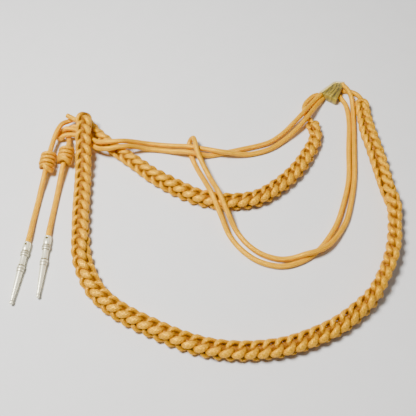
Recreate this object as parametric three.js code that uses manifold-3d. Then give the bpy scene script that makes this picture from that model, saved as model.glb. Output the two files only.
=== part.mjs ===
// Aiguillette: a gold shoulder cord laid out on a table, as an assembly of its pieces.
// Millimetres, +Z up, the table at Z = 0.
// The origin is under the middle of the plaits, knots, tips and tab.

import * as THREE from "three";
import { mergeVertices } from "three/addons/utils/BufferGeometryUtils.js";
import Module from "manifold-3d";

const wasm = await Module();
wasm.setup();

// Cord
const CORD_DIAMETER = 6;
const CORD_SIDES = 8;
const CORD_STEP = 16;
const PENCIL_STEP = 12;
const BIGHT_STEP = 3;
const LINK_STEP = 6;
const CLEARANCE = 0.3;
const TABLE_GAP = 0.1;
const LINE_DIVISIONS = 2000;
const HALF_GAP = 0.5;

// Plaits: both are worked from the same cord in one stitch
const PLAIT_WIDTH = 20.5;
const PLAIT_THICKNESS = 15.6;
const STITCH_PITCH = 12.3;
const STITCH_DEPTH = 1.7;
const STITCH_SLANT = 5;
const VALLEY_DEPTH = 1.4;
const PLAIT_END_ROUND = 7;
const PLAIT_END_SHARE = 0.7;
const SECTION_SIDES = 10;
const SECTION_FULLNESS = 2.3;
const VALLEY_SHARPNESS = 6;
const RINGS_PER_STITCH = 3;

// Barrel knots above the tips
const KNOT_DIAMETER = 19;
const KNOT_LENGTH = 21;
const KNOT_TURNS = 4;
const KNOT_GROOVE_DEPTH = 2.2;
const KNOT_END_DEPTH = 0.6;
const KNOT_CREST_START = 0.3;
const KNOT_CREST_END = 0.7;
const KNOT_SIDES = 12;

// Turned metal tips, from the cord's socket to the end knob
const TIP_LENGTH = 72;
const TIP_SOCKET_DEPTH = 9;
const TIP_CORD_DEPTH = 8;
const TIP_MOUTH_DIAMETER = 7.8;
const TIP_BULGE_DIAMETER = 8.8;
const TIP_BULGE_LENGTH = 10;
const TIP_RING_DIAMETER = 9.2;
const TIP_RING_LENGTH = 4.6;
const TIP_NECK_DIAMETER = 6.2;
const TIP_NECK_LENGTH = 9;
const TIP_LOWER_RING_DIAMETER = 8.2;
const TIP_LOWER_RING_LENGTH = 5;
const TIP_SHOULDER_LENGTH = 1.4;
const TIP_POINT_DIAMETER = 3;
const TIP_KNOB_DIAMETER = 3.9;
const TIP_KNOB_LENGTH = 3.2;
const TIP_SIDES = 14;
const TIP_PIN_HOLE_SIDES = 8;
const TIP_PIN_HOLE_DIAMETER = 1.5;
const TIP_PIN_HOLE_FROM_MOUTH = 3;

// Shoulder tab
const TAB_THICKNESS = 13;
const TAB_EDGE_THICKNESS = 9;
const TAB_FOLD_DEPTH = 1.1;
const TAB_FOLDS = 3;
const TAB_CELLS_ALONG = 9;
const TAB_CELLS_ACROSS = 6;

// Levels of a cord's middle above the table
const ON_TABLE = CORD_DIAMETER / 2 + TABLE_GAP;
const STACK = CORD_DIAMETER + CLEARANCE;
const OVER_ONE = ON_TABLE + STACK;
const OVER_TWO = OVER_ONE + STACK;
const OVER_PLAIT = PLAIT_THICKNESS + CLEARANCE + CORD_DIAMETER / 2;
const KNOT_LEVEL = KNOT_DIAMETER / 2 + TABLE_GAP;
const TIP_LEVEL = TIP_RING_DIAMETER / 2;

// How far the first stitches of the long plait are lifted, where they lie on the short plait
const PLAIT_LIFT = PLAIT_THICKNESS + CLEARANCE;

// How far outside a knot or a tip its cord is already in line with it
const KNOT_LEAD = 4;
const TIP_LEAD = 9;

// Straight pieces on the pencil cords: where each starts on the table and which way it points
const KNOT_1 = { x: -189.2, y: 71.6, heading: -94.3 };
const KNOT_2 = { x: -168.6, y: 79.4, heading: -95.6 };
const TIP_1 = { x: -199, y: -46.9, heading: -95.2 };
const TIP_2 = { x: -177.5, y: -39.4, heading: -91 };

// Corners of the shoulder tab, anticlockwise from its left end
const TAB_CORNERS = {
  left: [142.8, 164.6],
  front: [162.6, 151.4],
  right: [177.4, 182.6],
  back: [162.6, 182.4],
};

// Plait routes: x, y, lift off the table, roll of the face in degrees and share of the full section
const LONG_PLAIT_ROUTE = [
  [-151, 120, PLAIT_LIFT, 0, 1],
  [-149, 106, PLAIT_LIFT, 0, 1],
  [-148, 86, 0.84 * PLAIT_LIFT, 0, 1],
  [-147, 68.5, 0.52 * PLAIT_LIFT, 0, 1],
  [-146, 48, 0.2 * PLAIT_LIFT, 0, 1],
  [-145, 25, 0, 0, 1.02],
  [-143.5, -5, 0, 0, 1.02],
  [-141, -35, 0, 0, 1.02],
  [-137.2, -64.2, 0, 0, 1.07],
  [-129.5, -85.3, 0, 0, 1.08],
  [-118.1, -104.6, 0, 0, 1.06],
  [-101.7, -120, 0, 0, 1.05],
  [-82.8, -132.2, 0, 0, 1.05],
  [-62, -142.5, 0, 0, 1.05],
  [-27, -157.7, 0, 0, 1.06],
  [2, -166, 0, 0, 1.07],
  [34, -169, 0, 0, 1.07],
  [74, -165.4, 0, 0, 1.07],
  [103, -156.5, 0, 0, 1.06],
  [132.2, -143.3, 0, 15, 1.05],
  [154.6, -127.7, 0, 35, 1.07],
  [172, -111.3, 0, 60, 1.1],
  [183.9, -93.1, 0, 80, 1.1],
  [194.9, -72.7, 0, 90, 1.1],
  [203, -50.5, 0, 90, 1.08],
  [207.5, -27, 0, 90, 1],
  [210.4, -2.5, 0, 110, 1],
  [207.5, 22, 0, 140, 0.97],
  [203, 61, 0, 170, 1.02],
  [199.8, 83, 0, 180, 1.02],
  [196.4, 103, 0, 180, 1],
  [195, 118, 0, 180, 0.85],
  [194.4, 133, 0, 180, 0.76],
  [195.4, 149.5, 0, 180, 0.8],
];
const SHORT_PLAIT_ROUTE = [
  [-156, 124.2, 0, 0, 0.88],
  [-137.9, 102.4, 0, 0, 0.88],
  [-106, 74, 0, 0, 0.93],
  [-84.4, 57, 0, 0, 0.96],
  [-67.3, 42.8, 0, 0, 1],
  [-51.6, 32.2, 0, 0, 1.05],
  [-31.8, 20, 0, 0, 1.06],
  [-10, 9.5, 0, 0, 1.04],
  [22.5, 3.9, 0, 0, 1.04],
  [54.4, 7.6, 0, 0, 1.05],
  [78.6, 22, 0, 0, 1.04],
  [102.6, 44.8, 0, 0, 1],
  [119.8, 70, 0, 0, 0.94],
  [131.4, 93.8, 0, 0, 0.8],
  [132, 110.5, 0, 0, 0.74],
];

// Cord routes, chosen by hand: x, y and the level of the cord's middle.
// A doubled cord runs out along its first rows, turns back in its bight and returns along its last rows.
const FRONT_CORD = {
  out: [
    [147.4, 160.6, ON_TABLE],
    [135.5, 143.4, 6.6],
    [124, 125.5, 9.7],
    [112, 111, 7.6],
    [96, 96, 4.2],
    [75, 81, ON_TABLE],
    [50, 73.2, ON_TABLE],
    [20, 72, OVER_ONE],
    [-4, 77, 9],
    [-24, 80.3, OVER_ONE],
    [-41, 84, 5.4],
    [-58, 87, ON_TABLE],
    [-76, 87.8, 5.4],
    [-94, 84.5, 14],
    [-104, 81.4, OVER_PLAIT],
    [-120, 80, OVER_PLAIT],
    [-133, 83.4, 14.6],
    [-149, 98, 10],
    [-163, 105.6, OVER_ONE],
  ],
  bight: [
    [-174.5, 106.8, OVER_ONE],
    [-181, 104.2, 5],
    [-185.4, 99.6, ON_TABLE],
    [-181, 95.2, 5],
    [-174.5, 96.4, OVER_ONE],
  ],
  back: [
    [-163, 97.6, OVER_ONE],
    [-149, 90, 10],
    [-132, 75.4, 12.4],
    [-118, 71.6, 17.4],
    [-106, 73, OVER_PLAIT],
    [-92, 76.8, 14.6],
    [-76, 80, 5.6],
    [-58, 79.2, ON_TABLE],
    [-41, 75.8, 5.4],
    [-24, 71.8, 9.8],
    [-11, 70.2, 7.6],
    [2, 71.4, ON_TABLE],
    [38, 79.8, ON_TABLE],
    [74, 90.6, ON_TABLE],
    [92, 103, 5],
    [107, 118, 8.4],
    [117.6, 130, 9.9],
    [131, 148, 7.4],
    [144.6, 163.6, 8],
  ],
};
const LOOP_CORD = {
  out: [
    [168.4, 164.6, ON_TABLE],
    [175, 150, ON_TABLE],
    [176.2, 125, ON_TABLE],
    [170.5, 79.5, ON_TABLE],
    [165.6, 38, ON_TABLE],
    [157, 8, ON_TABLE],
    [145.6, -21.3, ON_TABLE],
    [134, -40, ON_TABLE],
    [120.5, -56, ON_TABLE],
    [101, -69, ON_TABLE],
    [79, -74.4, ON_TABLE],
    [55, -68.5, ON_TABLE],
    [37, -55, ON_TABLE],
    [23.5, -37, 4.5],
    [14.8, -18, 12.4],
    [4.8, 6, OVER_PLAIT + 0.8],
    [-4.5, 30, 11.9],
    [-14, 54, 3.6],
    [-21, 72, ON_TABLE],
  ],
  bight: [
    [-23.4, 82, 3.4],
    [-22, 90, 6.6],
    [-18, 90.4, 12.8],
    [-15.4, 82, OVER_TWO],
  ],
  back: [
    [-13.4, 71, OVER_TWO],
    [-8, 57, 12.6],
    [2.4, 33, 12.4],
    [12.8, 8, OVER_PLAIT + 0.8],
    [22.8, -15, 12.4],
    [31, -31, 4.5],
    [43.5, -48, ON_TABLE],
    [59, -60, ON_TABLE],
    [78, -66, ON_TABLE],
    [92, -65.4, 4.4],
    [106, -62.6, 8.8],
    [119, -59, OVER_ONE],
    [133, -50.5, 7.4],
    [154.5, -22, ON_TABLE],
    [165, 7.5, ON_TABLE],
    [172.2, 38, ON_TABLE],
    [177.4, 79.5, ON_TABLE],
    [182.2, 125, ON_TABLE],
    [183.5, 147, 4.4],
    [182.3, 160, 7.8],
    [178.6, 170.6, OVER_ONE],
    [172.8, 179, OVER_ONE],
  ],
};
const LINK_CORD_LONG = [
  [172.4, 173.2, ON_TABLE],
  [179, 172.6, ON_TABLE],
  [186, 170.8, ON_TABLE],
  [192, 166.6, ON_TABLE],
  [195.4, 160.4, 3.8],
  [196, 151.5, 5.4],
  [195.4, 142.5, 6.2],
];
const LINK_CORD_SHORT = [
  [141.8, 166.6, ON_TABLE],
  [136, 164.6, ON_TABLE],
  [130.2, 159.4, ON_TABLE],
  [124, 151.4, ON_TABLE],
  [121.8, 143, ON_TABLE],
  [122.8, 135, ON_TABLE],
  [126.4, 127.4, ON_TABLE],
  [129.6, 120.6, 4],
  [131.2, 113, 5.2],
  [131.6, 105, 5.8],
];
const PENCIL_CORD_1_TOP = [
  [-152.6, 121, 9],
  [-159, 121.4, 9.4],
  [-166, 120.8, 9.6],
  [-173, 117.4, 10.2],
  [-178.4, 111.6, 13.2],
  [-182.4, 103.6, 13.6],
  [-185.2, 94.6, 12.4],
  [-187.4, 84.6, 10.4],
];
const PENCIL_CORD_1_REST = [
  [-192.2, 37, 7.6],
  [-194.2, 22, 4.6],
  [-195.4, 8, ON_TABLE],
  [-196.4, -5, ON_TABLE],
  [-197.4, -20, 3.6],
];
const PENCIL_CORD_2_TOP = [
  [-151.6, 115, 6.4],
  [-157, 115.2, 5.4],
  [-163.5, 114.4, 4.4],
  [-170, 113.6, ON_TABLE],
  [-172.8, 108.6, ON_TABLE],
  [-172.4, 102, ON_TABLE],
  [-170.7, 95.6, 3.7],
  [-168.4, 87.2, 8.7],
];
const PENCIL_CORD_2_REST = [
  [-172.4, 43, 7.6],
  [-174, 27, 4.6],
  [-175.2, 10, ON_TABLE],
  [-176.2, -6, ON_TABLE],
  [-177, -20, 3.6],
];
const CUT_END_TOP = [
  [-154.6, 109.6, 19],
  [-160, 112.8, 18],
  [-166, 117, 17.2],
  [-173, 121.6, 16.6],
];
const CUT_END_SIDE = [
  [95.6, 44, 7],
  [99.8, 32.4, 5],
];

// Finishes
const cordFinish = new THREE.MeshStandardMaterial({ color: 0xe0a23c, roughness: 0.55, metalness: 0.1 });
const tipFinish = new THREE.MeshStandardMaterial({ color: 0xe6dfc4, roughness: 0.22, metalness: 1 });
const tabFinish = new THREE.MeshStandardMaterial({ color: 0xa08a2c, roughness: 0.45, metalness: 0.3 });

// Adds one named piece to a group.
function addPiece(group, name, geometry, finish) {
  const mesh = new THREE.Mesh(geometry, finish);
  mesh.name = name;
  group.add(mesh);
  return mesh;
}

// Adds one named length of cord.
function addCord(group, name, line, step = CORD_STEP) {
  return addPiece(group, name, cordGeometry(line, CORD_DIAMETER, step), cordFinish);
}

// A smooth line through route rows of x, y and z.
function lineThrough(rows) {
  const points = rows.map(([x, y, z]) => new THREE.Vector3(x, y, z));
  return new THREE.CatmullRomCurve3(points, false, "centripetal");
}

// A cord's line: smooth through its rows, and nowhere lower than a cord that lies on the table.
class CordLine extends THREE.CatmullRomCurve3 {
  constructor(rows) {
    const points = rows.map(([x, y, z]) => new THREE.Vector3(x, y, z));
    super(points, false, "centripetal");
  }

  getPoint(share, target = new THREE.Vector3()) {
    const point = super.getPoint(share, target);
    point.z = Math.max(point.z, ON_TABLE);
    return point;
  }
}

// Part of a longer line, from one distance along it to another.
class Stretch extends THREE.Curve {
  constructor(line, from, to) {
    super();
    this.line = line;
    this.from = from / line.getLength();
    this.to = to / line.getLength();
  }

  getPoint(share, target = new THREE.Vector3()) {
    return this.line.getPointAt(THREE.MathUtils.lerp(this.from, this.to, share), target);
  }
}

// A round bar along a line, with flat ends.
function cordGeometry(line, diameter, step) {
  const section = new THREE.Shape();
  for (let side = 0; side < CORD_SIDES; side += 1) {
    const angle = (2 * Math.PI * (side + 0.5)) / CORD_SIDES;
    const x = (diameter / 2) * Math.cos(angle);
    const y = (diameter / 2) * Math.sin(angle);
    if (side === 0) section.moveTo(x, y);
    else section.lineTo(x, y);
  }
  section.closePath();
  const steps = Math.max(3, Math.round(line.getLength() / step));
  return new THREE.ExtrudeGeometry(section, { steps, extrudePath: line, bevelEnabled: false });
}

// A doubled cord as three bars that meet end to end: one run out, the bight and the run back.
function doubledCord(route) {
  const line = new CordLine([...route.out, ...route.bight, ...route.back]);
  line.arcLengthDivisions = LINE_DIVISIONS;
  const distanceOf = (index) => {
    const lengths = line.getLengths();
    const share = index / (line.points.length - 1);
    return lengths[Math.round(share * (lengths.length - 1))];
  };
  const bightStart = distanceOf(route.out.length - HALF_GAP);
  const bightEnd = distanceOf(route.out.length + route.bight.length - HALF_GAP);
  return {
    out: new Stretch(line, 0, bightStart - CLEARANCE),
    bight: new Stretch(line, bightStart, bightEnd),
    back: new Stretch(line, bightEnd + CLEARANCE, line.getLength()),
  };
}

// The plait's section, flat side down: width along x and thickness along y.
function sectionPoints() {
  const power = 2 / SECTION_FULLNESS;
  return Array.from({ length: SECTION_SIDES }, (_, side) => {
    const angle = (2 * Math.PI * side) / SECTION_SIDES;
    const across = Math.cos(angle);
    const up = Math.sin(angle);
    return {
      across: (PLAIT_WIDTH / 2) * Math.sign(across) * Math.abs(across) ** power,
      up: (PLAIT_THICKNESS / 2) * Math.sign(up) * Math.abs(up) ** power,
      spread: Math.abs(across),
      crown: Math.max(0, up) ** VALLEY_SHARPNESS,
    };
  });
}

// How high a rolled plait's middle lies when it rests on the table.
function restHeight(roll) {
  const angle = THREE.MathUtils.degToRad(roll);
  const rises = sectionPoints().map(({ across, up }) => across * Math.sin(angle) + up * Math.cos(angle));
  return -Math.min(...rises);
}

// A plait: V-shaped rings along the route, drawn in between stitches, with round ends.
function plaitGeometry(route) {
  const line = lineThrough(route.map(([x, y, lift, roll, size]) => [x, y, lift + size * restHeight(roll)]));
  const rolls = lineThrough(route.map(([x, y, , roll]) => [x, y, roll]));
  const sizes = lineThrough(route.map(([x, y, , , size]) => [x, y, size]));
  const length = line.getLength();
  const stitches = Math.round(length / STITCH_PITCH);
  const rings = stitches * RINGS_PER_STITCH;
  const section = sectionPoints();
  const vertical = new THREE.Vector3(0, 0, 1);
  const vertices = [];
  for (let ring = 0; ring <= rings; ring += 1) {
    const between = ring % RINGS_PER_STITCH === 0;
    const start = (ring / rings) * (length - STITCH_SLANT);
    section.forEach((point) => {
      const along = start + STITCH_SLANT * point.spread;
      const share = Math.min(1, along / length);
      const middle = line.getPointAt(share);
      const forward = line.getTangentAt(share);
      const row = line.getUtoTmapping(share);
      const roll = THREE.MathUtils.degToRad(rolls.getPoint(row).z);
      const side = new THREE.Vector3().crossVectors(vertical, forward).normalize();
      const top = new THREE.Vector3().crossVectors(forward, side);
      const toEnd = Math.min(1, Math.min(along, length - along) / PLAIT_END_ROUND);
      const round = PLAIT_END_SHARE + (1 - PLAIT_END_SHARE) * Math.sqrt(1 - (1 - toEnd) ** 2);
      const reach = Math.hypot(point.across, point.up);
      const drawn = (between ? STITCH_DEPTH : 0) + VALLEY_DEPTH * point.crown;
      const shrink = sizes.getPoint(row).z * round * (1 - drawn / reach);
      const across = shrink * point.across;
      const up = shrink * point.up;
      middle.addScaledVector(side, across * Math.cos(roll) - up * Math.sin(roll));
      middle.addScaledVector(top, across * Math.sin(roll) + up * Math.cos(roll));
      middle.z = Math.max(middle.z, 0);
      vertices.push(middle);
    });
  }
  vertices.push(line.getPointAt(0), line.getPointAt(1));
  const firstCentre = vertices.length - 2;
  const lastCentre = vertices.length - 1;
  const faces = [];
  for (let side = 0; side < SECTION_SIDES; side += 1) {
    const next = (side + 1) % SECTION_SIDES;
    for (let ring = 0; ring < rings; ring += 1) {
      const here = ring * SECTION_SIDES;
      const ahead = here + SECTION_SIDES;
      faces.push(here + side, ahead + next, here + next, here + side, ahead + side, ahead + next);
    }
    const last = rings * SECTION_SIDES;
    faces.push(firstCentre, side, next);
    faces.push(lastCentre, last + next, last + side);
  }
  return facesFacingOut(vertices, faces);
}

// A geometry from points and triangles, turned to face out.
function facesFacingOut(vertices, faces) {
  const geometry = new THREE.BufferGeometry().setFromPoints(vertices);
  let volume = 0;
  for (let i = 0; i < faces.length; i += 3) {
    const [a, b, c] = [vertices[faces[i]], vertices[faces[i + 1]], vertices[faces[i + 2]]];
    volume += a.dot(new THREE.Vector3().crossVectors(b, c));
  }
  geometry.setIndex(volume > 0 ? faces : faces.reverse());
  geometry.computeVertexNormals();
  return geometry;
}

// A closed mesh as a solid that can be cut.
function solidFrom(geometry) {
  const bare = geometry.index ? geometry.toNonIndexed() : geometry.clone();
  bare.deleteAttribute("normal");
  bare.deleteAttribute("uv");
  const merged = mergeVertices(bare, 1e-3);
  const mesh = new wasm.Mesh({
    numProp: 3,
    vertProperties: merged.attributes.position.array,
    triVerts: new Uint32Array(merged.index.array),
  });
  return new wasm.Manifold(mesh);
}

// Cuts a socket for each cord that goes into a piece, wider than the cord by the clearance.
function cutSockets(geometry, tools) {
  const cut = tools.reduce((solid, tool) => solid.subtract(solidFrom(tool)), solidFrom(geometry));
  const mesh = cut.getMesh();
  const result = new THREE.BufferGeometry();
  result.setAttribute("position", new THREE.BufferAttribute(new Float32Array(mesh.vertProperties), 3));
  result.setIndex(new THREE.BufferAttribute(new Uint32Array(mesh.triVerts), 1));
  result.computeVertexNormals();
  return result;
}

// The space that a cord takes with its clearance, its end pushed on by the clearance too.
function cordSpace(rows, atStart) {
  const line = new CordLine(rows);
  const end = line.getPointAt(atStart ? 0 : 1);
  const outward = line.getTangentAt(atStart ? 0 : 1).multiplyScalar(atStart ? -CLEARANCE : CLEARANCE);
  const extra = end.add(outward).toArray();
  const longer = atStart ? [extra, ...rows] : [...rows, extra];
  const scale = 1 / Math.cos(Math.PI / CORD_SIDES);
  return cordGeometry(new CordLine(longer), scale * (CORD_DIAMETER + 2 * CLEARANCE), BIGHT_STEP);
}

// Route rows along a straight piece, at distances from its start.
function rowsAlong(piece, level, distances) {
  const angle = THREE.MathUtils.degToRad(piece.heading);
  return distances.map((far) => [piece.x + far * Math.cos(angle), piece.y + far * Math.sin(angle), level]);
}

// Lays a lathe-turned piece, whose axis is +Y, along its heading on the table.
function layTurned(mesh, piece, level) {
  mesh.rotation.z = THREE.MathUtils.degToRad(piece.heading - 90);
  mesh.position.set(piece.x, piece.y, level);
}

// A barrel knot: rounded turns of cord wound on the cord that runs through it.
function knotGeometry() {
  const bore = CORD_DIAMETER / 2 + CLEARANCE;
  const outer = KNOT_DIAMETER / 2;
  const turn = KNOT_LENGTH / KNOT_TURNS;
  const profile = [new THREE.Vector2(bore, 0)];
  for (let index = 0; index < KNOT_TURNS; index += 1) {
    const atEnd = index === 0 || index === KNOT_TURNS - 1;
    const crest = outer - (atEnd ? KNOT_END_DEPTH : 0);
    profile.push(new THREE.Vector2(outer - KNOT_GROOVE_DEPTH, index * turn));
    profile.push(new THREE.Vector2(crest, (index + KNOT_CREST_START) * turn));
    profile.push(new THREE.Vector2(crest, (index + KNOT_CREST_END) * turn));
  }
  profile.push(new THREE.Vector2(outer - KNOT_GROOVE_DEPTH, KNOT_LENGTH));
  profile.push(new THREE.Vector2(bore, KNOT_LENGTH));
  profile.push(new THREE.Vector2(bore, 0));
  return new THREE.LatheGeometry(profile, KNOT_SIDES);
}

// A turned tip: socket with a bulge and ring, neck, lower ring, long taper and end knob.
function tipGeometry() {
  const bore = CORD_DIAMETER / 2 + CLEARANCE;
  const ring = TIP_BULGE_LENGTH + TIP_SHOULDER_LENGTH;
  const neck = ring + TIP_RING_LENGTH + TIP_SHOULDER_LENGTH;
  const lowerRing = neck + TIP_NECK_LENGTH + 2 * TIP_SHOULDER_LENGTH;
  const taper = lowerRing + TIP_LOWER_RING_LENGTH + TIP_SHOULDER_LENGTH;
  const knob = TIP_LENGTH - TIP_KNOB_LENGTH;
  const rows = [
    { diameter: 0, along: TIP_SOCKET_DEPTH },
    { diameter: 2 * bore, along: TIP_SOCKET_DEPTH },
    { diameter: 2 * bore, along: 0 },
    { diameter: TIP_MOUTH_DIAMETER, along: 0 },
    { diameter: TIP_BULGE_DIAMETER, along: 0.5 * TIP_BULGE_LENGTH },
    { diameter: TIP_MOUTH_DIAMETER, along: TIP_BULGE_LENGTH },
    { diameter: TIP_RING_DIAMETER, along: ring },
    { diameter: TIP_RING_DIAMETER, along: ring + TIP_RING_LENGTH },
    { diameter: TIP_NECK_DIAMETER, along: neck },
    { diameter: TIP_NECK_DIAMETER, along: neck + TIP_NECK_LENGTH },
    { diameter: TIP_LOWER_RING_DIAMETER, along: lowerRing },
    { diameter: TIP_LOWER_RING_DIAMETER, along: lowerRing + TIP_LOWER_RING_LENGTH },
    { diameter: TIP_NECK_DIAMETER, along: taper },
    { diameter: TIP_POINT_DIAMETER, along: knob - TIP_SHOULDER_LENGTH },
    { diameter: TIP_KNOB_DIAMETER, along: knob },
    { diameter: TIP_KNOB_DIAMETER, along: TIP_LENGTH - 0.3 * TIP_KNOB_LENGTH },
    { diameter: 0.6 * TIP_KNOB_DIAMETER, along: TIP_LENGTH },
    { diameter: 0, along: TIP_LENGTH },
  ];
  const profile = rows.map((row) => new THREE.Vector2(row.diameter / 2, row.along));
  const holeRadius = TIP_PIN_HOLE_DIAMETER / 2;
  const hole = new THREE.CylinderGeometry(holeRadius, holeRadius, TIP_RING_DIAMETER, TIP_PIN_HOLE_SIDES);
  hole.rotateX(Math.PI / 2);
  hole.translate(0, TIP_PIN_HOLE_FROM_MOUTH, TIP_RING_DIAMETER / 2 + CLEARANCE);
  return cutSockets(new THREE.LatheGeometry(profile, TIP_SIDES), [hole]);
}

// The shoulder tab: a folded pad of ribbon over the cords' ends, domed and ridged above, flat underneath.
function tabGeometry() {
  const { left, front, right, back } = TAB_CORNERS;
  const { lerp } = THREE.MathUtils;
  const geometry = new THREE.BoxGeometry(1, 1, 1, TAB_CELLS_ACROSS, TAB_CELLS_ALONG, 1);
  const points = geometry.getAttribute("position");
  for (let index = 0; index < points.count; index += 1) {
    const across = points.getX(index) + 0.5;
    const along = points.getY(index) + 0.5;
    const [x, y] = [0, 1].map((axis) =>
      lerp(lerp(left[axis], front[axis], across), lerp(back[axis], right[axis], across), along),
    );
    const dome = Math.sqrt(Math.sin(Math.PI * along) * Math.sin(Math.PI * across));
    const ridge = Math.cos(2 * Math.PI * TAB_FOLDS * across) - 1;
    const top = lerp(TAB_EDGE_THICKNESS, TAB_THICKNESS, dome) + TAB_FOLD_DEPTH * dome * ridge;
    points.setXYZ(index, x, y, points.getZ(index) > 0 ? top : 0);
  }
  return geometry;
}

// A pencil cord runs from the plaits through its knot into its tip.
function pencilRoute(top, knot, rest, tip) {
  const inKnot = [-KNOT_LEAD, 0.25 * KNOT_LENGTH, 0.75 * KNOT_LENGTH, KNOT_LENGTH + KNOT_LEAD];
  const inTip = [-TIP_LEAD, -TIP_LEAD / 3, TIP_CORD_DEPTH];
  return [
    ...top,
    ...rowsAlong(knot, KNOT_LEVEL, inKnot),
    ...rest,
    ...rowsAlong(tip, TIP_LEVEL, inTip),
  ];
}

const frontCord = doubledCord(FRONT_CORD);
const loopCord = doubledCord(LOOP_CORD);
const pencilRoute1 = pencilRoute(PENCIL_CORD_1_TOP, KNOT_1, PENCIL_CORD_1_REST, TIP_1);
const pencilRoute2 = pencilRoute(PENCIL_CORD_2_TOP, KNOT_2, PENCIL_CORD_2_REST, TIP_2);

const layout = new THREE.Group();
const solids = new THREE.Group();
const cords = new THREE.Group();
layout.add(solids, cords);

// Pieces that keep their own form, each with a socket for every cord that goes into it
const longPlait = cutSockets(plaitGeometry(LONG_PLAIT_ROUTE), [
  cordSpace(LINK_CORD_LONG, false),
  cordSpace(CUT_END_TOP, true),
]);
const shortPlait = cutSockets(plaitGeometry(SHORT_PLAIT_ROUTE), [
  cordSpace(LINK_CORD_SHORT, false),
  cordSpace(pencilRoute1, true),
  cordSpace(pencilRoute2, true),
  cordSpace(CUT_END_SIDE, true),
]);
const shoulderTab = cutSockets(tabGeometry(), [
  cordSpace(FRONT_CORD.out, true),
  cordSpace(FRONT_CORD.back, false),
  cordSpace(LINK_CORD_SHORT, true),
  cordSpace(LOOP_CORD.out, true),
  cordSpace(LOOP_CORD.back, false),
  cordSpace(LINK_CORD_LONG, true),
]);
addPiece(solids, "plait_long", longPlait, cordFinish);
addPiece(solids, "plait_short", shortPlait, cordFinish);
addPiece(solids, "shoulder_tab", shoulderTab, tabFinish);
layTurned(addPiece(solids, "knot_1", knotGeometry(), cordFinish), KNOT_1, KNOT_LEVEL);
layTurned(addPiece(solids, "knot_2", knotGeometry(), cordFinish), KNOT_2, KNOT_LEVEL);
layTurned(addPiece(solids, "tip_1", tipGeometry(), tipFinish), TIP_1, TIP_LEVEL);
layTurned(addPiece(solids, "tip_2", tipGeometry(), tipFinish), TIP_2, TIP_LEVEL);

// Cut ends of cord that stand out of the plaits
addCord(solids, "cut_end_top", new CordLine(CUT_END_TOP), BIGHT_STEP);
addCord(solids, "cut_end_side", new CordLine(CUT_END_SIDE), BIGHT_STEP);

// Plain cords
addCord(cords, "front_cord_out", frontCord.out);
addCord(cords, "front_cord_bight", frontCord.bight, BIGHT_STEP);
addCord(cords, "front_cord_back", frontCord.back);
addCord(cords, "loop_cord_out", loopCord.out);
addCord(cords, "loop_cord_bight", loopCord.bight, BIGHT_STEP);
addCord(cords, "loop_cord_back", loopCord.back);
addCord(cords, "link_cord_long", new CordLine(LINK_CORD_LONG), LINK_STEP);
addCord(cords, "link_cord_short", new CordLine(LINK_CORD_SHORT), LINK_STEP);
addCord(cords, "pencil_cord_1", new CordLine(pencilRoute1), PENCIL_STEP);
addCord(cords, "pencil_cord_2", new CordLine(pencilRoute2), PENCIL_STEP);

// The origin goes under the middle of the pieces that carry the part
const box = new THREE.Box3().setFromObject(solids, true);
const middle = box.getCenter(new THREE.Vector3());
layout.position.set(-middle.x, -middle.y, -box.min.z);

export default layout;
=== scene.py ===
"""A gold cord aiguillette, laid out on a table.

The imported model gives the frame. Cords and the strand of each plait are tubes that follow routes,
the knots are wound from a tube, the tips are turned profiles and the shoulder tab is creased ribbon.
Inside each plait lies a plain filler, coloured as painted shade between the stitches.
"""

import logging
import math
from collections.abc import Sequence
from dataclasses import dataclass, field
from enum import Enum

import bpy
import numpy as np
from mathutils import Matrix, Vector


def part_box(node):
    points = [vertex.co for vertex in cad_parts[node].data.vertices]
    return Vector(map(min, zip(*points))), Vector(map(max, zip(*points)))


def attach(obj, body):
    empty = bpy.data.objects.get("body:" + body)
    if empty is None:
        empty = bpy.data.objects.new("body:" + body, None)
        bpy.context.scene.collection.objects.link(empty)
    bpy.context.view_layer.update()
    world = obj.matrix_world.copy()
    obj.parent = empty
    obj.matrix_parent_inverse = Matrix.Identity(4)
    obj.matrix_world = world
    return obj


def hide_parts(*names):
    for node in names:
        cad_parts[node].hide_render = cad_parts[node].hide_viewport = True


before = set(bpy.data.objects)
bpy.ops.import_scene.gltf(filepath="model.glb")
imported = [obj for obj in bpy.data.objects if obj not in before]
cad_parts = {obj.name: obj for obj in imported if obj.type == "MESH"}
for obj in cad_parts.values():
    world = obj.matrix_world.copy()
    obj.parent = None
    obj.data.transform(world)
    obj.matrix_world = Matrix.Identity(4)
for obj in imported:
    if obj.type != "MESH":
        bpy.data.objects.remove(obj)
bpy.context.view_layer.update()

LOG = logging.getLogger("aiguillette")
MM = 0.001

Array = np.ndarray
Row = tuple[float, ...]
Color = tuple[float, float, float, float]

# Braid: how full its ribs are, and how many fine lines lie along each
RIB_FULLNESS = 0.6
LINES_IN_RIB = 7.0

# Cord and the levels of its middle above the table
CORD = 0.006
CLEARANCE = 0.0003
ON_TABLE = CORD / 2 + 0.0001
STACK = CORD + CLEARANCE
OVER_ONE = ON_TABLE + STACK
OVER_TWO = OVER_ONE + STACK

# Plait
PLAIT_WIDTH = 0.0205
PLAIT_THICKNESS = 0.0156
PLAIT_LIFT = PLAIT_THICKNESS + CLEARANCE
OVER_PLAIT = PLAIT_THICKNESS + CLEARANCE + CORD / 2

# Knots and tips
KNOT_LENGTH = 0.021
KNOT_DIAMETER = 0.019
KNOT_LEVEL = KNOT_DIAMETER / 2 + 0.0001
KNOT_LEAD = 0.004
TIP_RING_DIAMETER = 0.0092
TIP_LEVEL = TIP_RING_DIAMETER / 2
TIP_CORD_DEPTH = 0.008
TIP_LEAD = 0.009

# Shoulder tab
TAB_THICKNESS = 0.013
TAB_EDGE_THICKNESS = 0.009
TAB_LEFT = (0.1428, 0.1646)
TAB_FRONT = (0.1626, 0.1514)
TAB_RIGHT = (0.1774, 0.1826)
TAB_BACK = (0.1626, 0.1824)

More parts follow.
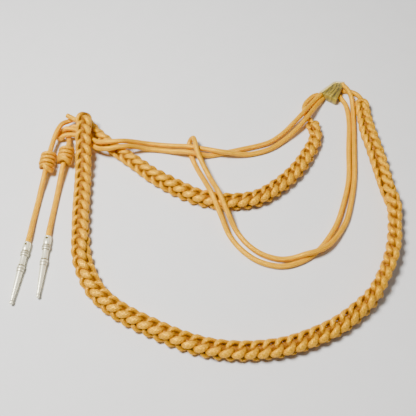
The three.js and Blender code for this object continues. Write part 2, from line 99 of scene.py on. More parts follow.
# Plait routes: x, y, lift off the table, roll of the flat section in degrees, share of the full
# section, and how far the stitches are turned inside it in degrees
LONG_PLAIT_ROUTE: tuple[Row, ...] = (
    (-0.151, 0.120, PLAIT_LIFT, 0, 1, 140),
    (-0.149, 0.106, PLAIT_LIFT, 0, 1, 140),
    (-0.148, 0.086, 0.84 * PLAIT_LIFT, 0, 1, 141),
    (-0.147, 0.0685, 0.52 * PLAIT_LIFT, 0, 1, 141),
    (-0.146, 0.048, 0.2 * PLAIT_LIFT, 0, 1, 141),
    (-0.145, 0.025, 0, 0, 1.02, 141),
    (-0.1435, -0.005, 0, 0, 1.02, 142),
    (-0.141, -0.035, 0, 0, 1.02, 148),
    (-0.1372, -0.0642, 0, 0, 1.07, 174),
    (-0.1295, -0.0853, 0, 0, 1.08, 190),
    (-0.1181, -0.1046, 0, 0, 1.06, 194),
    (-0.1017, -0.120, 0, 0, 1.05, 197),
    (-0.0828, -0.1322, 0, 0, 1.05, 199),
    (-0.062, -0.1425, 0, 0, 1.05, 201),
    (-0.027, -0.1577, 0, 0, 1.06, 206),
    (0.002, -0.166, 0, 0, 1.07, 213),
    (0.034, -0.169, 0, 0, 1.07, 219),
    (0.074, -0.1654, 0, 0, 1.07, 223),
    (0.103, -0.1565, 0, 0, 1.06, 222),
    (0.1322, -0.1433, 0, 15, 1.05, 210),
    (0.1546, -0.1277, 0, 35, 1.07, 186),
    (0.172, -0.1113, 0, 60, 1.1, 156),
    (0.1839, -0.0931, 0, 80, 1.1, 131),
    (0.1949, -0.0727, 0, 90, 1.1, 122),
    (0.203, -0.0505, 0, 90, 1.08, 126),
    (0.2075, -0.027, 0, 90, 1, 132),
    (0.2104, -0.0025, 0, 110, 1, 136),
    (0.2075, 0.022, 0, 140, 0.97, 148),
    (0.203, 0.061, 0, 170, 1.02, 157),
    (0.1998, 0.083, 0, 180, 1.02, 158),
    (0.1966, 0.103, 0, 180, 1.02, 157),
    (0.1956, 0.118, 0, 180, 0.96, 157),
    (0.195, 0.133, 0, 180, 0.9, 157),
    (0.195, 0.153, 0, 180, 0.96, 157),
)
SHORT_PLAIT_ROUTE: tuple[Row, ...] = (
    (-0.156, 0.1242, 0, 0, 0.88, 172),
    (-0.1379, 0.1024, 0, 0, 0.88, 172),
    (-0.106, 0.074, 0, 0, 0.93, 172),
    (-0.0844, 0.057, 0, 0, 0.96, 174),
    (-0.0673, 0.0428, 0, 0, 1, 179),
    (-0.0516, 0.0322, 0, 0, 1.05, 186),
    (-0.0318, 0.020, 0, 0, 1.06, 202),
    (-0.010, 0.0095, 0, 0, 1.04, 214),
    (0.0225, 0.0039, 0, 0, 1.04, 220),
    (0.0544, 0.0076, 0, 0, 1.05, 220),
    (0.0786, 0.022, 0, 0, 1.04, 218),
    (0.1026, 0.0448, 0, 0, 1, 214),
    (0.1198, 0.070, 0, 0, 0.94, 208),
    (0.1314, 0.0938, 0, 0, 0.86, 202),
    (0.1322, 0.105, 0, 0, 0.86, 200),
    (0.1304, 0.1135, 0, 0, 0.88, 200),
    (0.1262, 0.1195, 0, 0, 0.88, 200),
)

# Cord routes: x, y and the level of the cord's middle
FRONT_CORD_ROUTE: tuple[Row, ...] = (
    (0.1474, 0.1606, ON_TABLE),
    (0.1355, 0.1434, 0.0066),
    (0.124, 0.1255, 0.0097),
    (0.112, 0.111, 0.0076),
    (0.096, 0.096, 0.0042),
    (0.075, 0.081, ON_TABLE),
    (0.050, 0.0732, ON_TABLE),
    (0.020, 0.072, OVER_ONE),
    (-0.004, 0.077, 0.009),
    (-0.024, 0.0803, OVER_ONE),
    (-0.041, 0.084, 0.0054),
    (-0.058, 0.087, ON_TABLE),
    (-0.076, 0.0878, 0.0054),
    (-0.094, 0.0845, 0.014),
    (-0.104, 0.0814, OVER_PLAIT),
    (-0.120, 0.080, OVER_PLAIT),
    (-0.133, 0.0834, 0.0146),
    (-0.149, 0.098, 0.010),
    (-0.163, 0.1056, OVER_ONE),
    (-0.1745, 0.1068, OVER_ONE),
    (-0.181, 0.1042, 0.005),
    (-0.1854, 0.0996, ON_TABLE),
    (-0.181, 0.0952, 0.005),
    (-0.1745, 0.0964, OVER_ONE),
    (-0.163, 0.0976, OVER_ONE),
    (-0.149, 0.090, 0.010),
    (-0.132, 0.0754, 0.0124),
    (-0.118, 0.0716, 0.0174),
    (-0.106, 0.073, OVER_PLAIT),
    (-0.092, 0.0768, 0.0146),
    (-0.076, 0.080, 0.0056),
    (-0.058, 0.0792, ON_TABLE),
    (-0.041, 0.0758, 0.0054),
    (-0.024, 0.0718, 0.0098),
    (-0.011, 0.0702, 0.0076),
    (0.002, 0.0714, ON_TABLE),
    (0.038, 0.0798, ON_TABLE),
    (0.074, 0.0906, ON_TABLE),
    (0.092, 0.103, 0.005),
    (0.107, 0.118, 0.0084),
    (0.1176, 0.130, 0.0099),
    (0.131, 0.148, 0.0074),
    (0.1446, 0.1636, 0.008),
)
LOOP_CORD_ROUTE: tuple[Row, ...] = (
    (0.1684, 0.1646, ON_TABLE),
    (0.175, 0.150, ON_TABLE),
    (0.1762, 0.125, ON_TABLE),
    (0.1705, 0.0795, ON_TABLE),
    (0.1656, 0.038, ON_TABLE),
    (0.157, 0.008, ON_TABLE),
    (0.1456, -0.0213, ON_TABLE),
    (0.134, -0.040, ON_TABLE),
    (0.1205, -0.056, ON_TABLE),
    (0.101, -0.069, ON_TABLE),
    (0.079, -0.0744, ON_TABLE),
    (0.055, -0.0685, ON_TABLE),
    (0.037, -0.055, ON_TABLE),
    (0.0235, -0.037, 0.0045),
    (0.0148, -0.018, 0.0124),
    (0.0048, 0.006, OVER_PLAIT + 0.0008),
    (-0.0045, 0.030, 0.0119),
    (-0.014, 0.054, 0.0036),
    (-0.021, 0.072, ON_TABLE),
    (-0.0234, 0.082, 0.0034),
    (-0.022, 0.090, 0.0066),
    (-0.018, 0.0904, 0.0128),
    (-0.0154, 0.082, OVER_TWO),
    (-0.0134, 0.071, OVER_TWO),
    (-0.008, 0.057, 0.0126),
    (0.0024, 0.033, 0.0124),
    (0.0128, 0.008, OVER_PLAIT + 0.0008),
    (0.0228, -0.015, 0.0124),
    (0.031, -0.031, 0.0045),
    (0.0435, -0.048, ON_TABLE),
    (0.059, -0.060, ON_TABLE),
    (0.078, -0.066, ON_TABLE),
    (0.092, -0.0654, 0.0044),
    (0.106, -0.0626, 0.0088),
    (0.119, -0.059, OVER_ONE),
    (0.133, -0.0505, 0.0074),
    (0.1545, -0.022, ON_TABLE),
    (0.165, 0.0075, ON_TABLE),
    (0.1722, 0.038, ON_TABLE),
    (0.1774, 0.0795, ON_TABLE),
    (0.1822, 0.125, ON_TABLE),
    (0.1835, 0.147, 0.0044),
    (0.1823, 0.160, 0.0078),
    (0.1786, 0.1706, OVER_ONE),
    (0.1728, 0.179, OVER_ONE),
)
LINK_CORD_LONG_ROUTE: tuple[Row, ...] = (
    (0.1724, 0.1732, ON_TABLE),
    (0.179, 0.1726, ON_TABLE),
    (0.186, 0.1708, ON_TABLE),
    (0.192, 0.1666, ON_TABLE),
    (0.1954, 0.1604, 0.0038),
    (0.196, 0.1515, 0.0054),
    (0.1954, 0.1425, 0.0062),
)
LINK_CORD_SHORT_ROUTE: tuple[Row, ...] = (
    (0.1418, 0.1666, ON_TABLE),
    (0.136, 0.1646, ON_TABLE),
    (0.1302, 0.1594, ON_TABLE),
    (0.124, 0.1514, ON_TABLE),
    (0.1218, 0.143, ON_TABLE),
    (0.1228, 0.135, ON_TABLE),
    (0.1264, 0.1274, ON_TABLE),
    (0.1296, 0.1206, 0.004),
    (0.1312, 0.113, 0.0052),
    (0.1316, 0.105, 0.0058),
)
PENCIL_CORD_1_TOP: tuple[Row, ...] = (
    (-0.1526, 0.121, 0.009),
    (-0.159, 0.1214, 0.0094),
    (-0.166, 0.1208, 0.0096),
    (-0.173, 0.1174, 0.0102),
    (-0.1784, 0.1116, 0.0132),
    (-0.1824, 0.1036, 0.0136),
    (-0.1852, 0.0946, 0.0124),
    (-0.1874, 0.0846, 0.0104),
)
PENCIL_CORD_1_REST: tuple[Row, ...] = (
    (-0.1922, 0.037, 0.0076),
    (-0.1942, 0.022, 0.0046),
    (-0.1954, 0.008, ON_TABLE),
    (-0.1964, -0.005, ON_TABLE),
    (-0.1974, -0.020, 0.0036),
)
PENCIL_CORD_2_TOP: tuple[Row, ...] = (
    (-0.1516, 0.115, 0.0064),
    (-0.157, 0.1152, 0.0054),
    (-0.1635, 0.1144, 0.0044),
    (-0.170, 0.1136, ON_TABLE),
    (-0.1728, 0.1086, ON_TABLE),
    (-0.1724, 0.102, ON_TABLE),
    (-0.1707, 0.0956, 0.0037),
    (-0.1684, 0.0872, 0.0087),
)
PENCIL_CORD_2_REST: tuple[Row, ...] = (
    (-0.1724, 0.043, 0.0076),
    (-0.174, 0.027, 0.0046),
    (-0.1752, 0.010, ON_TABLE),
    (-0.1762, -0.006, ON_TABLE),
    (-0.177, -0.020, 0.0036),
)
CUT_END_TOP_ROUTE: tuple[Row, ...] = (
    (-0.1546, 0.1096, 0.019),
    (-0.160, 0.1128, 0.018),
    (-0.166, 0.117, 0.0172),
    (-0.173, 0.1216, 0.0166),
)
CUT_END_SIDE_ROUTE: tuple[Row, ...] = (
    (0.0956, 0.044, 0.007),
    (0.0998, 0.0324, 0.005),
)

# One half of a chain stitch, from its foot to the middle of its head, in cord diameters:
# along the plait, across it, above its middle, the cord's width and height there,
# and the way its height points, along, across and above
HALF_STITCH: tuple[Row, ...] = (
    (0.08, 0.52, 0.00, 0.92, 0.90, 0.0, 1.0, 0.0),
    (0.34, 0.56, 0.72, 1.00, 0.88, -0.3, 0.2, 1.0),
    (0.98, 0.86, 0.95, 1.12, 0.86, 0.0, 0.4, 1.0),
    (1.60, 1.18, 0.66, 1.10, 0.86, 0.0, 0.7, 0.7),
    (2.30, 1.34, 0.06, 0.98, 0.90, 0.3, 1.0, 0.1),
    (2.86, 0.90, -0.22, 0.92, 0.90, 1.0, 0.6, 0.0),
    (3.05, 0.00, -0.20, 0.92, 0.88, 1.0, 0.0, 0.0),
)
# The run behind the plait from one stitch's last foot to the next stitch's first
BACK_RUN: tuple[Row, ...] = (
    (0.22, -0.44, -0.70, 1.0, 0.88, -0.4, -0.3, -1.0),
    (1.00, -0.10, -1.00, 1.35, 0.86, 0.0, 0.0, -1.0),
    (1.80, 0.34, -0.74, 1.05, 0.88, 0.3, 0.3, -1.0),
)
# The arc over the plait's first end, up to the first stitch's foot
FIRST_ARC: tuple[Row, ...] = (
    (2.10, -1.20, 0.10, 0.95, 0.90, 0.3, -1.0, 0.3),
    (1.20, -1.30, 0.42, 1.00, 0.90, 0.2, -0.8, 0.6),
    (0.50, -0.95, 0.62, 1.00, 0.90, -0.3, -0.4, 0.9),
    (0.28, 0.00, 0.70, 1.00, 0.90, -0.4, 0.0, 1.0),
    (0.50, 0.95, 0.60, 1.00, 0.90, -0.3, 0.4, 0.9),
    (1.10, 1.25, 0.00, 0.95, 0.90, 0.2, 1.0, 0.0),
    (1.20, 0.95, -0.65, 0.95, 0.90, 0.0, 0.6, -0.8),
    (0.85, 0.55, -0.60, 0.92, 0.90, 0.0, 0.8, -0.6),
)
# The end of the strand, tucked up through the last stitch's head
LAST_TUCK: tuple[Row, ...] = (
    (2.20, 0.44, -0.10, 0.92, 0.90, 0.0, 1.0, 0.0),
    (2.36, 0.40, 0.62, 1.00, 0.88, 0.2, 0.2, 1.0),
    (2.66, -0.05, 0.88, 1.05, 0.88, 0.2, -0.1, 1.0),
    (2.50, -0.44, 0.44, 0.95, 0.90, 0.0, -0.8, 0.6),
    (2.34, -0.40, -0.20, 0.90, 0.88, 0.0, -1.0, 0.0),
)
STITCH_PITCH = 2.05
STITCH_REACH = (1.34, 1.0)
FIRST_FOOT = 0.95
LAST_STITCH = 4.45

# The tuck of cord at each knot's lower end: along the knot, sideways and up, in millimetres
KNOT_1_TUCK: tuple[Row, ...] = (
    (19.0, -1.6, 3.0),
    (23.0, -0.2, 5.4),
    (25.6, 2.6, 5.0),
    (26.4, 5.2, 2.6),
    (25.4, 6.6, -0.6),
    (22.6, 6.0, -3.4),
)
KNOT_2_TUCK: tuple[Row, ...] = (
    (20.4, -4.8, -1.0),
    (20.6, -4.6, 3.4),
    (20.4, -2.2, 6.6),
    (20.8, 1.4, 7.4),
    (22.4, 4.8, 5.4),
    (23.2, 6.4, 1.8),
    (21.6, 6.2, -2.4),
)

# A tip's turned outline: distance from its mouth and diameter, in millimetres, and how dull and dark it is
# there: olive on its rings, painted shade in its grooves and socket
TIP_OUTLINE: tuple[Row, ...] = (
    (6.0, 6.5, 1.0),
    (0.5, 6.6, 1.0),
    (0.0, 7.1, 0.7),
    (0.1, 7.8, 0.3),
    (0.7, 8.0, 0.0),
    (2.0, 8.1, 0.0),
    (4.8, 8.8, 0.0),
    (7.6, 8.8, 0.0),
    (9.6, 8.2, 0.1),
    (10.6, 7.6, 0.7),
    (11.0, 7.5, 1.0),
    (11.3, 7.8, 1.0),
    (11.6, 9.1, 0.6),
    (12.0, 9.3, 0.45),
    (13.2, 9.3, 0.4),
    (13.5, 8.9, 1.0),
    (13.8, 9.2, 0.7),
    (15.8, 9.0, 0.1),
    (16.4, 8.3, 0.7),
    (16.7, 7.0, 1.0),
    (17.1, 6.7, 0.1),
    (21.5, 6.5, 0.0),
    (26.6, 6.8, 0.0),
    (27.2, 7.0, 0.3),
    (27.5, 6.5, 1.0),
    (28.4, 6.5, 1.0),
    (28.7, 8.0, 0.6),
    (29.1, 8.3, 0.1),
    (31.0, 8.3, 0.1),
    (31.3, 7.9, 1.0),
    (31.6, 8.2, 0.6),
    (33.9, 7.9, 0.1),
    (34.7, 7.5, 0.5),
    (35.1, 6.9, 0.9),
    (35.7, 6.8, 0.1),
    (42.0, 6.3, 0.0),
    (50.0, 5.5, 0.0),
    (58.0, 4.5, 0.0),
    (67.4, 3.2, 0.0),
    (67.9, 3.0, 0.9),
    (68.2, 3.7, 0.6),
    (68.8, 3.9, 0.1),
    (70.4, 3.8, 0.0),
    (71.3, 3.2, 0.0),
    (71.8, 2.0, 0.0),
    (72.0, 0.4, 0.0),
)


class Slot(Enum):
    """The record's material slots."""

    CORD = "cord_gold"
    RIBBON = "tab_ribbon"
    METAL = "tip_metal"


class Layer(Enum):
    """Names of the layers that the pieces carry for their materials."""

    PLACE = "Place"
    DEPTH = "depth"


def unit(vectors: Array) -> Array:
    """Vectors of length one, each its vector over its length.

    Args:
        vectors: One vector in each row, in the last axis.

    Returns:
        The same rows with length one.
    """
    return vectors / np.maximum(np.linalg.norm(vectors, axis=-1, keepdims=True), 1e-12)


def across_to(vectors: Array, forward: Array) -> Array:
    """The part of each vector that is square to a direction, with length one.

    Args:
        vectors: One vector in each row.
        forward: The direction in each row, with length one.

    Returns:
        Each vector less its share along the direction, made length one.
    """
    share = np.sum(vectors * forward, axis=-1, keepdims=True)
    return unit(vectors - share * forward)


def spline(rows: Array, samples: int) -> Array:
    """A centripetal Catmull-Rom spline through rows.

    Each gap between rows has a cubic of its own. Its end slopes come from the rows before and
    after, each weighed by the square root of its distance in the first three columns.

    Args:
        rows: The rows that the line goes through, a place in the first three columns.
        samples: Points for each gap.

    Returns:
        The line's points, with as many columns as the rows.
    """
    ends = np.vstack([2 * rows[0] - rows[1], rows, 2 * rows[-1] - rows[-2]])
    gaps = np.sqrt(np.linalg.norm(np.diff(ends[:, :3], axis=0), axis=1))[:, None]
    before, here, after = gaps[:-2], gaps[1:-1], gaps[2:]
    p0, p1, p2, p3 = ends[:-3], ends[1:-2], ends[2:-1], ends[3:]
    leave = here * ((p1 - p0) / before - (p2 - p0) / (before + here) + (p2 - p1) / here)
    reach = here * ((p2 - p1) / here - (p3 - p1) / (here + after) + (p3 - p2) / after)
    t = np.linspace(0, 1, samples, endpoint=False)[None, :, None]
    start = (2 * t**3 - 3 * t**2 + 1) * p1[:, None]
    stop = (3 * t**2 - 2 * t**3) * p2[:, None]
    slopes = (t**3 - 2 * t**2 + t) * leave[:, None] + (t**3 - t**2) * reach[:, None]
    return np.vstack([(start + stop + slopes).reshape(-1, rows.shape[1]), rows[-1:]])


def distances(line: Array) -> Array:
    """How far each point is along a line, the sum of the steps up to it.

    Args:
        line: Points, a place in the first three columns.

    Returns:
        One distance for each point, from zero.
    """
    steps = np.linalg.norm(np.diff(line[:, :3], axis=0), axis=1)
    return np.concatenate([[0.0], np.cumsum(steps)])


def evenly(line: Array, spacing: float) -> Array:
    """The same line with its points the same distance apart.

    Args:
        line: Points, a place in the first three columns.
        spacing: The wished distance, in metres.

    Returns:
        Points read off the line at equal distances.
    """
    far = distances(line)
    even = np.linspace(0, far[-1], max(2, round(far[-1] / spacing)) + 1)
    return np.column_stack([np.interp(even, far, column) for column in line.T])


@dataclass(frozen=True)
class Straight:
    """A straight piece on the table: where it starts in the layout and which way it points."""

    x: float
    y: float
    heading: float

    def place(self, points: Array, level: float) -> Array:
        """Points from the piece's own directions into the layout.

        Args:
            points: Along the piece, sideways and up, in metres.
            level: The level of the piece's axis.

        Returns:
            The start, plus each measure times its direction.
        """
        angle = math.radians(self.heading)
        along = np.array([math.cos(angle), math.sin(angle), 0.0])
        side = np.array([-math.sin(angle), math.cos(angle), 0.0])
        start = np.array([self.x, self.y, level])
        up = np.array([0.0, 0.0, 1.0])
        return start + points[..., :1] * along + points[..., 1:2] * side + points[..., 2:3] * up

    def rows(self, level: float, far: Sequence[float]) -> list[Row]:
        """Route rows on the piece's axis, at the given distances from its start."""
        return [tuple(self.place(np.array([distance, 0.0, 0.0]), level)) for distance in far]


KNOT_1 = Straight(-0.1892, 0.0716, -94.3)
KNOT_2 = Straight(-0.1686, 0.0794, -95.6)
TIP_1 = Straight(-0.199, -0.0469, -95.2)
TIP_2 = Straight(-0.1775, -0.0394, -91)


def layout_offset() -> Array:
    """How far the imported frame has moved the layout.

    Returns:
        The middle of the first knot's box, less its middle in the layout, level with the table.
    """
    low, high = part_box("knot_1")
    middle = KNOT_1.place(np.array([KNOT_LENGTH / 2, 0.0, 0.0]), KNOT_LEVEL)
    offset = (np.array(low) + np.array(high)) / 2 - middle
    offset[2] = 0.0
    return offset


OFFSET = layout_offset()


@dataclass
class Surface:
    """A grid of points that closes round its second axis, with a face over each end."""

    points: Array
    place: tuple[Array, Array]
    depth: Array

    def build(
        self, name: str, slot: Slot, material: bpy.types.Material, *replaced: str
    ) -> bpy.types.Object:
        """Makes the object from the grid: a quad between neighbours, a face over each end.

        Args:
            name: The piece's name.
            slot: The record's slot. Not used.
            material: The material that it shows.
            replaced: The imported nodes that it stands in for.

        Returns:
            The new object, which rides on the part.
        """
        count, sides = self.points.shape[:2]
        corner = np.arange(count * sides).reshape(count, sides)
        wrapped = np.roll(corner, -1, axis=1)
        quads = np.stack([corner[:-1], corner[1:], wrapped[1:], wrapped[:-1]], axis=-1).reshape(-1, 4)
        faces = [*quads.tolist(), corner[0].tolist(), corner[-1][::-1].tolist()]
        mesh = bpy.data.meshes.new(name)
        mesh.from_pydata(self.points.reshape(-1, 3) + OFFSET, [], faces)
        along, around = self.place
        ring, step = np.divmod(np.arange(quads.shape[0]), sides)
        along_of = np.stack([along[ring], along[ring + 1], along[ring + 1], along[ring]], axis=-1)
        around_of = np.stack([around[step], around[step], around[step + 1], around[step + 1]], axis=-1)
        place = np.stack([along_of, around_of], axis=-1).reshape(-1, 2)
        caps = np.zeros((len(mesh.loops) - len(place), 2))
        layer = mesh.uv_layers.new(name=Layer.PLACE.value)
        layer.data.foreach_set("uv", np.vstack([place, caps]).astype(np.float32).ravel())
        depth = mesh.attributes.new(Layer.DEPTH.value, "FLOAT", "POINT")
        depth.data.foreach_set("value", self.depth.astype(np.float32).ravel())
        mesh.polygons.foreach_set("use_smooth", np.ones(len(mesh.polygons), bool))
        mesh.materials.append(material)
        mesh.update()
        piece = bpy.data.objects.new(name, mesh)
        bpy.context.scene.collection.objects.link(piece)
        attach(piece, "root")
        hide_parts(*replaced)
        LOG.info("%s: %d faces", name, len(mesh.polygons))
        return piece


@dataclass
class Tube:
    """A cord's skin: an oval ring round each point of a line."""

    line: Array
    up: Array
    width: Array
    height: Array
    sides: int = 14

    def surface(self, depth: Array | None = None) -> Surface:
        """The rings as a grid.

        Each ring is an oval: half its width times the cosine of the angle sideways, and half its
        height times the sine of the angle up. What would lie under the table is pressed flat on it.

        Args:
            depth: How deep each ring's points lie between other turns, or nothing for a free cord.

        Returns:
            The closed surface, with its place along and around the cord.
        """
        forward = unit(np.gradient(self.line, axis=0))
        up = across_to(self.up, forward)
        side = np.cross(forward, up)
        angle = 2 * np.pi * np.arange(self.sides) / self.sides
        out = 0.5 * self.width[:, None, None] * np.cos(angle)[None, :, None] * side[:, None]
        rise = 0.5 * self.height[:, None, None] * np.sin(angle)[None, :, None] * up[:, None]
        points = self.line[:, None] + out + rise
        points[..., 2] = np.maximum(points[..., 2], 0.0)
        around = np.linspace(0, 1, self.sides + 1)
        shade = np.zeros(points.shape[:2]) if depth is None else depth
        return Surface(points, (distances(self.line), around), shade)


def level_tube(line: Array, diameter: float = CORD) -> Tube:
    """A round tube along a line that never stands upright.

    Args:
        line: The ring centres.
        diameter: The tube's diameter, in metres.

    Returns:
        The tube, its rings turned so that their height points up.
    """
    up = np.tile([0.0, 0.0, 1.0], (len(line), 1))
    size = np.full(len(line), diameter)
    return Tube(line, up, size, size)


class NodeWriter:
    """A short way to fill a node tree."""

    def __init__(self, tree: bpy.types.NodeTree) -> None:
        """Keeps the tree and empties it.

        Args:
            tree: The material's or group's tree.
        """
        self.tree = tree
        tree.nodes.clear()

    def make(self, kind: str, inputs: dict | None = None, **settings: object) -> bpy.types.Node:
        """Adds a node.

        Args:
            kind: Its type, such as ShaderNodeMath.
            inputs: A value or another node's socket for each named or numbered socket.
            settings: The node's own settings.

        Returns:
            The new node.
        """
        node = self.tree.nodes.new(kind)
        for key, value in settings.items():
            setattr(node, key, value)
        for key, value in (inputs or {}).items():
            if isinstance(value, bpy.types.NodeSocket):
                self.tree.links.new(value, node.inputs[key])
            else:
                node.inputs[key].default_value = value
        return node

    def math(self, operation: str, *values: object) -> bpy.types.NodeSocket:
        """Adds a Math node on numbers or sockets, and gives its result."""
        node = self.make("ShaderNodeMath", dict(enumerate(values)), operation=operation)
        return node.outputs[0]

    def blend(self, share: object, first: object, second: object, kind: str = "MIX") -> bpy.types.NodeSocket:
        """Adds a colour Mix node.

        Args:
            share: How much of the second colour shows.
            first: The first colour or socket.
            second: The second colour or socket.
            kind: How they are mixed.

        Returns:
            The mixed colour.
        """
        node = self.make("ShaderNodeMix", data_type="RGBA", blend_type=kind)
        for socket, value in zip((node.inputs[0], node.inputs[6], node.inputs[7]), (share, first, second)):
            if isinstance(value, bpy.types.NodeSocket):
                self.tree.links.new(value, socket)
            else:
                socket.default_value = value
        return node.outputs[2]

    def depth(self) -> object:
        """How deep in the work each point lies, from the piece's own layer."""
        return self.make("ShaderNodeAttribute", attribute_name=Layer.DEPTH.value).outputs["Fac"]

    def surface(self, inputs: dict) -> None:
        """Ends a material with a Principled BSDF that has these inputs."""
        shader = self.make("ShaderNodeBsdfPrincipled", inputs)
        self.make("ShaderNodeOutputMaterial", {"Surface": shader.outputs[0]})

    def remap(self, value: object, low: float, high: float, start: float = 0.0, stop: float = 1.0) -> object:
        """Adds a Map Range node that takes start to low and stop to high."""
        inputs = {0: value, 1: start, 2: stop, 3: low, 4: high}
        return self.make("ShaderNodeMapRange", inputs).outputs[0]


def new_group(name: str, inputs: dict[str, str], outputs: Sequence[str]) -> bpy.types.NodeTree:
    """An empty shader node group with named sockets.

    Args:
        name: The group's name.
        inputs: A socket type for each input.
        outputs: The names of its outputs, which are all numbers.

    Returns:
        The group's tree.
    """
    group = bpy.data.node_groups.new(name, "ShaderNodeTree")
    for key, kind in inputs.items():
        group.interface.new_socket(key, in_out="INPUT", socket_type=kind)
    for key in outputs:
        group.interface.new_socket(key, in_out="OUTPUT", socket_type="NodeSocketFloat")
    return group


def crossed_ribs() -> bpy.types.NodeTree:
    """The shared braid: two sets of slanted ribs that pass over and under each other.

    One set counts along plus around, the other along less around. In each cell the set whose
    turn it is lies on top, and its height is the sine of its place between two ribs.

    Returns:
        The group, with the height, which set is on top, and fine lines along the ribs.
    """
    sockets = {"Place": "NodeSocketVector", "Along": "NodeSocketFloat", "Around": "NodeSocketFloat"}
    group = new_group("Crossed ribs", sockets, ("Height", "Over", "Lines"))
    nodes = NodeWriter(group)
    source = nodes.make("NodeGroupInput").outputs
    place = nodes.make("ShaderNodeSeparateXYZ", {0: source["Place"]}).outputs
    along = nodes.math("MULTIPLY", place[0], source["Along"])
    around = nodes.math("MULTIPLY", place[1], source["Around"])
    first = nodes.math("ADD", along, around)
    second = nodes.math("SUBTRACT", along, around)
    cells = nodes.math("ADD", nodes.math("FLOOR", first), nodes.math("FLOOR", second))
    over = nodes.math("FLOORED_MODULO", cells, 2.0)
    ribs = []
    for count in (first, second):
        turn = nodes.math("MULTIPLY", nodes.math("FRACT", count), math.pi)
        ribs.append(nodes.math("POWER", nodes.math("SINE", turn), RIB_FULLNESS))
    under = nodes.math("SUBTRACT", 1.0, over)
    height = nodes.math("ADD", nodes.math("MULTIPLY", ribs[0], over), nodes.math("MULTIPLY", ribs[1], under))
    lines = []
    for wide, narrow in ((first, second), (second, first)):
        stretched = nodes.math("MULTIPLY", wide, LINES_IN_RIB)
        vector = nodes.make("ShaderNodeCombineXYZ", {0: stretched, 1: narrow})
        noise = nodes.make("ShaderNodeTexNoise", {"Vector": vector.outputs[0], "Scale": 1.0, "Detail": 2.0})
        lines.append(noise.outputs[0])
    fine = nodes.math("ADD", nodes.math("MULTIPLY", lines[0], over), nodes.math("MULTIPLY", lines[1], under))
    nodes.make("NodeGroupOutput", {"Height": height, "Over": over, "Lines": fine})
    return group


def mottle() -> bpy.types.NodeTree:
    """The shared unevenness: soft noise in space, from a little under one to a little over one.

    Returns:
        The group, with the shade that a colour is multiplied by.
    """
    sockets = {"Place": "NodeSocketVector", "Scale": "NodeSocketFloat", "Amount": "NodeSocketFloat"}
    group = new_group("Mottle", sockets, ("Shade",))
    nodes = NodeWriter(group)
    source = nodes.make("NodeGroupInput").outputs
    inputs = {"Vector": source["Place"], "Scale": source["Scale"], "Detail": 3.0}
    noise = nodes.make("ShaderNodeTexNoise", inputs).outputs[0]
    offset = nodes.math("MULTIPLY", nodes.math("SUBTRACT", noise, 0.5), source["Amount"])
    nodes.make("NodeGroupOutput", {"Shade": nodes.math("ADD", 1.0, offset)})
    return group


@dataclass(frozen=True)
class Effects:
    """The node groups that several finishes share."""

    ribs: bpy.types.NodeTree
    mottle: bpy.types.NodeTree

    def use(self, nodes: NodeWriter, group: bpy.types.NodeTree, inputs: dict) -> object:
        """Places a group in a material, and gives its outputs."""
        return nodes.make("ShaderNodeGroup", inputs, node_tree=group).outputs

    def weave(self, nodes: NodeWriter, along: float, around: float) -> object:
        """The braid's outputs on the piece's own place layer.

        Args:
            nodes: The material's writer.
            along: Ribs for each metre along the piece.
            around: Ribs for each unit of its second measure.

        Returns:
            The outputs of the crossed ribs.
        """
        place = nodes.make("ShaderNodeUVMap", uv_map=Layer.PLACE.value).outputs[0]
        return self.use(nodes, self.ribs, {"Place": place, "Along": along, "Around": around})

    def shade(self, nodes: NodeWriter, scale: float, amount: float) -> object:
        """The mottle's shade in the piece's own space."""
        space = nodes.make("ShaderNodeTexCoord").outputs["Object"]
        return self.use(nodes, self.mottle, {"Place": space, "Scale": scale, "Amount": amount})["Shade"]


def new_material(name: str) -> tuple[bpy.types.Material, NodeWriter]:
    """An empty material and the writer of its nodes."""
    material = bpy.data.materials.new(name)
    material.use_nodes = True
    return material, NodeWriter(material.node_tree)


@dataclass(frozen=True)
class CordFinish:
    """Braided rayon cord: pale on its ribs and darker gold between them, painted light and shade of the
    braid, and orange deep in the work as painted shade.
    """

    name: str = "Gold cord"
    crest: Color = (1.0, 0.55, 0.004, 1)
    groove_shade: Color = (0.70, 0.17, 0.0, 1)
    deep: Color = (0.24, 0.065, 0.003, 1)
    ribs_along: float = 356.0
    ribs_around: float = 8.0
    rib_share: float = 0.75
    line_share: float = 0.6
    darker: float = 0.15
    shade_share: float = 0.9
    relief: float = 0.0005

    def build(self, effects: Effects) -> bpy.types.Material:
        """Makes the material.

        Args:
            effects: The shared node groups.

        Returns:
            The material, which reads the piece's own place and depth layers.
        """
        material, nodes = new_material(self.name)
        ribs = effects.weave(nodes, self.ribs_along, self.ribs_around)
        shade = effects.shade(nodes, 160.0, 0.55)
        raised = nodes.math("MULTIPLY", ribs["Height"], self.rib_share)
        lined = nodes.math("MULTIPLY_ADD", ribs["Lines"], self.line_share, raised)
        lit = nodes.math("SUBTRACT", lined, self.darker)
        # Paler on the ribs and darker between them: painted light and shade of the braid's relief, with fine
        # lines of the yarn's own tone.
        rib_tone_and_shade = nodes.blend(lit, self.groove_shade, self.crest)
        # Painted shade: deep orange-brown where the piece's depth layer says it lies deep in the work.
        worked = nodes.blend(nodes.math("MULTIPLY", nodes.depth(), self.shade_share), rib_tone_and_shade, self.deep)
        color = nodes.blend(1.0, worked, shade, "MULTIPLY")
        bump = nodes.make("ShaderNodeBump", {"Strength": 1.0, "Distance": self.relief, "Height": lit})
        roughness = nodes.remap(ribs["Height"], 0.52, 0.34)
        nodes.surface(
            {
                "Base Color": color,
                "Metallic": 0.3,
                "Roughness": roughness,
                "Specular IOR Level": 0.5,
                "Specular Tint": (1.0, 0.8, 0.36, 1),
                "Normal": bump.outputs[0],
            }
        )
        return material


